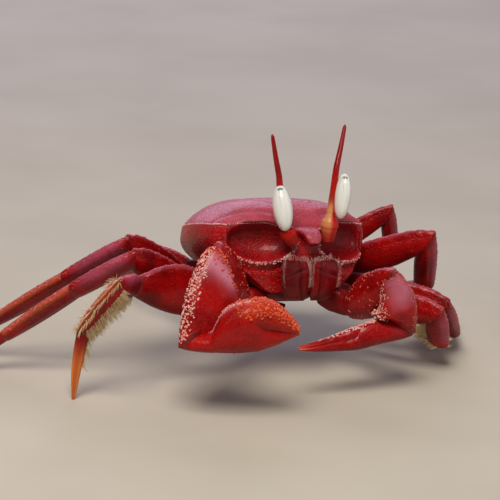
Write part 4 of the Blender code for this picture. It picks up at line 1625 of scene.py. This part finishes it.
    def masks(self, points: Array, marks: Array) -> dict[str, Array]:
        """Where the shell is pale with painted sheen, orange, or dark with painted shade, from body points
        in widths.
        """
        x, y, z = points[:, 0], points[:, 1], points[:, 2]
        top = ramp(z, -0.04, 0.04) * (marks < 1)
        reach = self.table.orbit_reach(x, z)
        on_face = marks == 3
        inside = on_face * ramp(reach, 1.02, 0.75)
        rim = on_face * bump(reach, 1.08, 0.10) * ramp(z, -0.02, -0.10)
        low = (marks == 1) * ramp(z, -0.06, -0.20)
        grooves = np.clip(-self.relief(points) * 2.2, 0, 1)
        return {
            # pale: painted sky sheen over the back, stronger towards the front, plus paler bands along the
            # lower rims of the eye hollows and along the margin
            "pale": (0.30 + 0.22 * ramp(y, -0.42, -0.10)) * top + 0.22 * rim + 0.12 * bump(z, 0.0, 0.03),
            "tip": 0.40 * (marks == 1) * ramp(y, -0.12, 0.04) * ramp(z, -0.26, -0.16),
            # deep: painted shade in the eye hollows, in the grooves of the back, over the underside and low
            # on the side walls
            "deep": np.clip(0.45 * inside + 0.35 * grooves * top + 0.8 * (marks == 2) + 0.35 * low, 0, 1),
        }

    def build_lobe(self) -> None:
        """The narrow front lobe, bent down between the eyes."""
        ys = (-0.36, -0.43, -0.475, -0.505, -0.520, -0.522)
        values = (
            (0.150, 0.100, 0.066, 0.056, 0.048, 0.034),
            (0.016, -0.004, -0.018, -0.040, -0.066, -0.090),
            (0.060, 0.050, 0.042, 0.036, 0.032, 0.026),
        )
        share = np.linspace(0, 1, 40)
        stations = np.linspace(0, 1, 6)
        y = through(stations, ys, share)[:, None]
        half, top, thick = (through(stations, v, share)[:, None] for v in values)
        a = angles(48)[None, :]
        dish = 0.006 * (1 - np.abs(np.cos(a)) ** 2) * (np.sin(a) > 0)
        x, y = half * power_wave(np.cos(a), 0.8), y + (y + 0.36) * 0.14 * np.sin(a)
        points = stacked(x, y, top + thick / 2 * (np.sin(a) - 1) - dish)
        # pale is a painted highlight on the lobe's upper side, deep is painted shade under it
        masks = {
            "pale": 0.45 * ramp(np.sin(a), 0.0, 0.9), "tip": 0.0, "deep": 0.4 * ramp(np.sin(a), -0.2, -0.8)
        }
        dress("front_lobe_shell", Skin.over(BODY.place(points), masks), self.finishes.shell, "shell")

    def build_granules(self, place: Array, normals: Array, flat: Array, net: Array, index: Array) -> None:
        """Rows of granules on the margins and orbit rims, and loose ones on the walls and face."""
        rng = np.random.default_rng(self.seed)
        a, d = self.across, self.down
        rows = []
        for column in (0, a):  # the side margins
            line = index[: int(self.along * 0.8), column]
            rows.append(grid_roots(place, normals, line, 60, (0.14, 0.26), rng))
        rows.append(grid_roots(place, normals, net[0, 2 : a - 1], 110, (0.10, 0.20), rng))
        x, z = flat[:, 0], flat[:, 2]
        reach = self.table.orbit_reach(x, z)
        inner = np.zeros(len(flat), bool)
        inner[net[1:-1, 1:-1].ravel()] = True
        rim = np.flatnonzero(inner & (np.abs(reach - 1.08) < 0.06) & (z < -0.05))
        rows.append(picked_roots(place, normals, rim, 150, (0.14, 0.26), rng))
        sides = index[: int(self.along * 0.75)]
        wall = np.concatenate([sides[:, a + 1 : a + d].ravel(), sides[:, 2 * a + d :].ravel()])
        under = np.flatnonzero(inner & (reach > 1.2) & (z < -0.12))
        red = [
            picked_roots(place, normals, wall, 520, (0.10, 0.22), rng),
            picked_roots(place, normals, under, 220, (0.10, 0.20), rng),
        ]
        orange = [picked_roots(place, normals, under, 40, (0.12, 0.22), rng)]
        fine = [picked_roots(place, normals, index[:, 1:a].ravel(), 1500, (0.05, 0.12), rng)]
        for tag, roots, finish, stretch in (
            ("margin", rows, self.finishes.pale_bead, 1.0),
            ("wall", red, self.finishes.red_bead, 0.8),
            ("face", orange, self.finishes.orange_bead, 0.9),
            ("back", fine, self.finishes.red_bead, 0.6),
        ):
            self.scatter.grow("shell", f"{tag}_granules", Scattered.BEAD, roots, finish, stretch)


def relaxed(points: Array, quads: Array, weight: Array, rounds: int) -> Array:
    """Points drawn towards their neighbours' mean, which rounds the edges where the weight is high."""
    ends = np.concatenate([quads[:, [0, 1]], quads[:, [1, 2]], quads[:, [2, 3]], quads[:, [3, 0]]])
    near, far = ends.T.ravel(), ends[:, ::-1].T.ravel()
    count = np.maximum(np.bincount(near, minlength=len(points)), 1)
    for _ in range(rounds):
        mean = np.stack([np.bincount(near, points[far, k], len(points)) / count for k in range(3)], axis=-1)
        points = points + (mean - points) * (0.6 * np.clip(weight, 0, 1))[:, None]
    return points


def vertex_normals(points: Array, faces: Sequence[Sequence[int]]) -> Array:
    """Outward normals of a closed mesh, one per vertex."""
    total = np.zeros_like(points)
    quads = np.array([f if len(f) == 4 else (*f, f[2]) for f in faces])
    p = points[quads]
    normal = np.cross(p[:, 2] - p[:, 0], p[:, 3] - p[:, 1])
    flat = np.abs(normal).sum(axis=1) == 0
    normal[flat] = np.cross(p[flat, 1] - p[flat, 0], p[flat, 2] - p[flat, 0])
    for k in range(4):
        np.add.at(total, quads[:, k], normal)
    if (total * (points - points.mean(axis=0))).sum() < 0:
        total = -total
    return unit(total)


def grid_roots(
    place: Array, normals: Array, line: Array, count: int, sizes: Span, rng: np.random.Generator
) -> Roots:
    """Roots along a line of vertices, evenly spaced with a little variation."""
    share = (np.arange(count) + rng.uniform(0.15, 0.85, count)) / count * (len(line) - 1)
    low = share.astype(int)
    t = (share - low)[:, None]
    points = place[line[low]] * (1 - t) + place[line[np.minimum(low + 1, len(line) - 1)]] * t
    return roots_at(points, normals[line[low]], share / len(line), sizes, rng)


def picked_roots(
    place: Array, normals: Array, among: Array, count: int, sizes: Span, rng: np.random.Generator
) -> Roots:
    """Roots on vertices picked at random, nudged off them."""
    chosen = rng.choice(among, size=min(count, len(among)), replace=False)
    normal = normals[chosen]
    nudge = np.cross(normal, rng.normal(size=(len(chosen), 3))) * 0.15
    return roots_at(place[chosen] + nudge, normal, np.arange(len(chosen)) / len(chosen), sizes, rng)


def roots_at(points: Array, normals: Array, share: Array, sizes: Span, rng: np.random.Generator) -> Roots:
    """Roots at given points with random sizes, half sunk beads standing along the normals."""
    size = rng.uniform(*sizes, len(points))
    leans = unit(np.cross(normals, rng.normal(size=(len(points), 3))))
    unwrap = np.stack([share % 1, rng.random(len(points)), 0 * share], axis=-1)
    return Roots(points - normals * (0.35 * size)[:, None], normals, leans, size, unwrap)


def body_loft(rows: Sequence[Sequence[float]], columns: int = 48, steps: int = 48) -> Skin:
    """A soft slab under the body through rows of y, x, half width, bottom and top, in widths."""
    stations = [row[0] for row in rows]
    y = np.linspace(stations[0], stations[-1], steps)
    x, half, bottom, top = (through(stations, [row[c] for row in rows], y)[:, None] for c in range(1, 5))
    a = angles(columns)[None, :]
    upright = (bottom + top) / 2 + (top - bottom) / 2 * power_wave(np.sin(a), 0.7)
    return Skin.over(BODY.place(stacked(x + half * power_wave(np.cos(a), 0.7), y[:, None], upright)))


@dataclass
class Underside:
    """The sternum with its segment seams and the tail flap folded under it."""

    finishes: Finishes

    def build(self) -> None:
        """Builds the sternum and the folded tail."""
        sternum = body_loft(
            (
                (-0.285, 0, 0.10, -0.42, -0.33), (-0.24, 0, 0.17, -0.44, -0.32),
                (-0.12, 0, 0.235, -0.445, -0.268), (0.03, 0, 0.245, -0.43, -0.262),
                (0.17, 0, 0.235, -0.40, -0.265), (0.28, 0, 0.19, -0.36, -0.27),
                (0.34, 0, 0.13, -0.33, -0.28),
            ),
            72,
            90,
        )
        self.settle_ribbed("sternum_shell", sternum, 5.5, "sternum", 0.35)
        pleon = body_loft(
            (
                (-0.16, 0, 0.035, -0.485, -0.455), (-0.05, 0, 0.065, -0.485, -0.450),
                (0.08, 0, 0.085, -0.465, -0.432), (0.22, 0, 0.105, -0.430, -0.398),
                (0.33, 0, 0.115, -0.385, -0.350),
            ),
            56,
            90,
        )
        self.settle_ribbed("tail_flap_shell", pleon, 6.5, "pleon", 0.25)

    def settle_ribbed(self, name: str, skin: Skin, seams: float, node: str, depth: float) -> None:
        """Cuts cross seams into a skin and settles it for its node."""
        t = np.linspace(0, 1, skin.points.shape[0])[:, None] * np.ones((1, skin.points.shape[1]))
        cut = np.abs(np.cos(t * pi * seams)) ** 14
        made = skin.lifted(-depth * cut * ramp(t, 0.0, 0.1) * ramp(t, 1.0, 0.9))
        # deep is painted shade in the seams
        made.masks = {"pale": 0.10 + 0 * t, "tip": 0 * t, "deep": 0.6 * cut}
        dress(name, made, self.finishes.under, "underside", node)


@dataclass
class MouthPlate:
    """One outer mouth plate: flat, with a long groove, a cross seam and hair along its edges."""

    side: Side
    finishes: Finishes
    scatter: Scatter

    def build(self) -> None:
        """Builds the plate and its fringe."""
        sign = self.side.value
        rows = (
            (-0.425, 0.068, 0.045, 0.025), (-0.395, 0.080, 0.070, 0.050), (-0.33, 0.094, 0.086, 0.060),
            (-0.26, 0.098, 0.090, 0.060), (-0.205, 0.100, 0.078, 0.045), (-0.185, 0.105, 0.045, 0.020),
        )
        z = np.linspace(rows[0][0], rows[-1][0], 64)
        x, half, thick = (
            through([r[0] for r in rows], [r[c] for r in rows], z)[:, None] for c in range(1, 4)
        )
        a = angles(64)[None, :]
        z = z[:, None]
        front = np.maximum(0, -np.sin(a))
        wide = power_wave(np.cos(a), 0.8)
        groove = 0.009 * bump(wide, -0.35, 0.14) * front
        groove = groove + 0.006 * bump(z, -0.265 - 0.03 * wide, 0.010) * front
        y = -0.40 - 0.060 - 0.06 * z - GAP / WIDTH - thick / 2 + groove
        points = stacked(sign * (x + half * wide), y + thick / 2 * power_wave(np.sin(a), 0.8), z)
        # deep darkens the whole plate a little and lays painted shade in its grooves
        pale, deep = 0.08 * ramp(np.abs(wide), 0.80, 1.0), np.clip(0.20 + 60 * groove, 0, 1)
        skin = Skin.over(BODY.place(points), {"pale": pale, "tip": 0.0, "deep": deep})
        tag = self.side.name.lower()
        dress(f"mouth_plate_{tag}_shell", skin, self.finishes.under, "underside", f"mouth_plate_{tag}")
        seed = 300 + sign
        hair = [
            Roots.along(skin, (0.30, 0.97), column, 60, (0.45, 0.75), seed + k, 0.012, 0.0, comb=1.0)
            for k, column in enumerate((0.93, 0.50, 0.57))
        ]
        lip = (skin, (0.90, 0.99), (0.55, 0.95), 70, (0.5, 0.8), seed + 5, 0.03, 0.0)
        hair.append(Roots.along(*lip, comb=0.8))
        name, finish = f"mouth_plate_{tag}_fringe", self.finishes.fringe
        self.scatter.grow("underside", name, Scattered.BRISTLE, hair, finish, 2.2, 0.2)


# ---------------------------------------------------------------- eyes
@dataclass(frozen=True)
class EyePose:
    """Where an eye stands: its base in widths, the rest in millimetres from the carapace's middle."""

    side: Side
    base: Point
    foot: Point
    top: Point
    tip: Point
    swell: Span
    tan: float  # how far the tan of the stalk shows
    slim: float = 1.0  # breadth of the cornea against its depth


EYE_POSES = (
    EyePose(
        Side.RIGHT, (-0.108, -0.485, -0.095), (-7.0, -21.2, 5.4), (-7.0, -17.2, 15.9), (-8.9, -15.4, 28.5),
        (-0.9, -1.5), 0.05
    ),
    EyePose(
        Side.LEFT, (0.112, -0.485, -0.090), (5.6, -21.4, 6.9), (7.6, -19.4, 17.8), (12.1, -15.2, 29.1),
        (1.95, -1.40), 1.0, 0.80
    ),
)


@dataclass
class Eye:
    """One eye: a swollen root, a slim stalk, the long white cornea round it and a horn above."""

    pose: EyePose
    finishes: Finishes
    radius: float = 0.058 * LIMB
    long: float = 0.134 * LIMB
    tan_side: float = 0.0  # where round the stalk its tan root looks
    stalk_radii: tuple[float, ...] = (0.036, 0.051, 0.030, 0.024, 0.021, 0.019, 0.015, 0.0105)

    def build(self) -> None:
        """Builds the stalk and the cornea."""
        tag = self.pose.side.name.lower()
        dress(f"eyestalk_{tag}_shell", self.stalk(), self.finishes.stalk, "stalk", f"eyestalk_{tag}")
        dress(f"cornea_{tag}_skin", self.cornea(), self.finishes.cornea, "cornea", f"cornea_{tag}")

    def points(self) -> tuple[Array, Array, Array, Array]:
        """Base, foot, top and tip in frame millimetres."""
        centre, pose = np.array(BODY.centre), self.pose
        ends = [centre + np.array(point) for point in (pose.foot, pose.top, pose.tip)]
        return (BODY.place(np.array(pose.base)), *ends)

    def stalk(self) -> Skin:
        """The stalk from its swollen root to the tip of the horn."""
        base, foot, top, tip = self.points()
        between = lambda p, q, s: p * (1 - s) + q * s
        path = np.array(
            [
                base, between(base, foot, 0.75), between(foot, top, 0.1), between(foot, top, 0.4),
                between(foot, top, 0.75), top + unit(top - foot) * 0.8, between(top, tip, 0.55), tip,
            ]
        )
        reach = np.concatenate([[0], np.cumsum(np.linalg.norm(np.diff(path, axis=0), axis=1))])
        t = np.linspace(0, reach[-1], 90)
        centre = np.stack([through(reach, path[:, k], t) for k in range(3)], axis=-1)
        radius = through(reach, np.array(self.stalk_radii) * LIMB, t)
        share = t / reach[-1]
        radius = radius * (1 + 0.06 * bump(t, reach[1], 1.0) - 0.10 * bump(t, reach[2], 0.8))
        radius = radius * (1 + 0.05 * np.sin(t * 5.0) * ramp(share, 0.42, 0.10) * ramp(share, 0.05, 0.15))
        radius[-3:] *= (0.9, 0.7, 0.4)
        ahead = unit(np.gradient(centre, axis=0))
        u = unit(np.cross(ahead, (0, 1, 0.2)))
        v = np.cross(ahead, u)
        a = angles(32)[None, :, None]
        points = centre[:, None] + (u[:, None] * np.cos(a) + v[:, None] * np.sin(a)) * radius[:, None, None]
        share = share[:, None]
        lit = ramp(np.cos(a[..., 0] - self.tan_side), 0.05, 0.55) * ramp(share, 0.40, 0.28)
        lit = np.maximum(lit, 0.25 * ramp(share, 0.24, 0.30))
        masks = {
            "pale": self.pose.tan * bump(share, 0.24, 0.13) * lit,
            "tip": 0.6 * ramp(share, 0.55, 0.7),
            # deep is painted shade at the stalk's root
            "deep": 0.35 * ramp(share, 0.12, 0.0),
        }
        return Skin.over(points, masks)

    def cornea(self) -> Skin:
        """The long oval cornea, with faint streaks and a smudge near its top."""
        _, foot, top, _ = self.points()
        middle = (foot + top) / 2 + np.array([*self.pose.swell, 0.3])
        axis = unit(top - foot)
        wide = unit(np.cross(axis, (0, -1, 0)))
        deep = np.cross(axis, wide)
        lat = np.linspace(0.02, pi - 0.02, 64)[:, None]
        a = angles(64)[None, :]
        ball = np.sin(lat) ** 0.92 * self.radius
        across = (ball * np.cos(a) * self.pose.slim)[..., None] * wide
        points = middle + across + (ball * np.sin(a))[..., None] * deep
        points = points + (np.cos(lat) * self.long * np.ones_like(a))[..., None] * axis
        ahead = unit(np.array([-0.5, -0.82, 0.2]))
        front = float(np.arctan2(ahead @ deep, ahead @ wide))
        streaks = sum(np.sin(k * a + 0.4 * k + 0.8 * np.sin(2 * lat + k)) for k in (9, 13, 22)) / 3
        streak = ramp(streaks, 0.25, 0.9) * (0.30 + 0.55 * ramp(np.cos(lat), 0.2, 0.8)) * np.sin(lat) ** 0.5
        smudge = bump(np.cos(lat), 0.84, 0.055) * ramp(np.cos(a - front), 0.75, 0.97)
        return Skin.over(points, {"streak": streak, "smudge": 0.9 * smudge})


# ---------------------------------------------------------------- light, floor and camera
@dataclass(frozen=True)
class Studio:
    """A plain pale floor, soft light from above and one camera."""

    azimuth: float = -30.0
    elevation: float = 18.0
    camera_roll: float = 3.0
    target: Point = (3.1, -6.4, 28.0)
    distance: float = 600.0
    lens: float = 168.48

    def build(self) -> None:
        """Sets up floor, world, lights and camera."""
        self.build_floor()
        self.build_world()
        self.build_light("key_light", (-220.0, -260.0, 600.0), 300.0, 3.7, "FFF6EC")
        self.build_light("fill_light", (420.0, -420.0, 260.0), 500.0, 0.5, "F2F5FF")
        self.build_light("sky_light", (240.0, 620.0, 430.0), 700.0, 2.8, "E4DCFF")
        self.build_camera()
        scene = bpy.context.scene
        scene.view_settings.view_transform = "Standard"

    def build_floor(self) -> None:
        """A pale matt floor that shows the shadow."""
        bpy.ops.mesh.primitive_plane_add(size=6.0)
        floor = bpy.context.object
        floor.name = "floor"
        floor.data.materials.append(Plain("floor_paint", "CCC5B4", "C4BDAC", 60.0, 0.9, 0.0).make())

    def build_world(self) -> None:
        """An even pale sky."""
        world = bpy.data.worlds.new("sky")
        world.use_nodes = True
        world.node_tree.nodes["Background"].inputs["Color"].default_value = colour("E6EAF2")
        world.node_tree.nodes["Background"].inputs["Strength"].default_value = 0.13
        bpy.context.scene.world = world

    def build_light(self, name: str, place: Point, size: float, power: float, tint: str) -> None:
        """Adds a square soft light that looks at the crab."""
        light = bpy.data.lights.new(name, "AREA")
        light.size = size * MM
        light.energy = power
        light.color = colour(tint)[:3]
        made = link_object(name, light)
        made.location = Vector(place) * MM
        made.rotation_euler = (Vector(self.target) * MM - made.location).to_track_quat("-Z", "Y").to_euler()

    def build_camera(self) -> None:
        """Adds the camera at its azimuth, elevation and roll."""
        a, e, k = radians(self.azimuth), radians(self.elevation), radians(self.camera_roll)
        back = Vector((sin(a) * cos(e), -cos(a) * cos(e), sin(e)))
        right = Vector((cos(a), sin(a), 0.0))
        up = back.cross(right)
        turned = (cos(k) * right + sin(k) * up, -sin(k) * right + cos(k) * up, back)
        camera = bpy.data.cameras.new("camera")
        camera.lens = self.lens
        camera.sensor_width = 36.0
        camera.clip_start = 0.01
        place = Matrix.Translation((Vector(self.target) + back * self.distance) * MM)
        made = link_object("camera", camera)
        made.matrix_world = place @ Matrix(turned).transposed().to_4x4()
        bpy.context.scene.camera = made


def main() -> None:
    """Builds the crab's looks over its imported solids, in order from the body outwards."""
    logging.basicConfig(level=logging.INFO, format="%(name)s: %(message)s")
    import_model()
    finishes = Finishes.make()
    scatter = Scatter()
    Carapace(finishes, scatter).build()
    Underside(finishes).build()
    for side in Side:
        MouthPlate(side, finishes, scatter).build()
    for pose in EYE_POSES:
        Eye(pose, finishes).build()
    for pose in (MAJOR_CLAW, MINOR_CLAW):
        Claw(pose, finishes, scatter).build()
    for name, pose in LEG_POSES.items():
        WalkingLeg(name, pose, finishes, scatter).build()
    Studio().build()


if __name__ == "__main__":
    main()
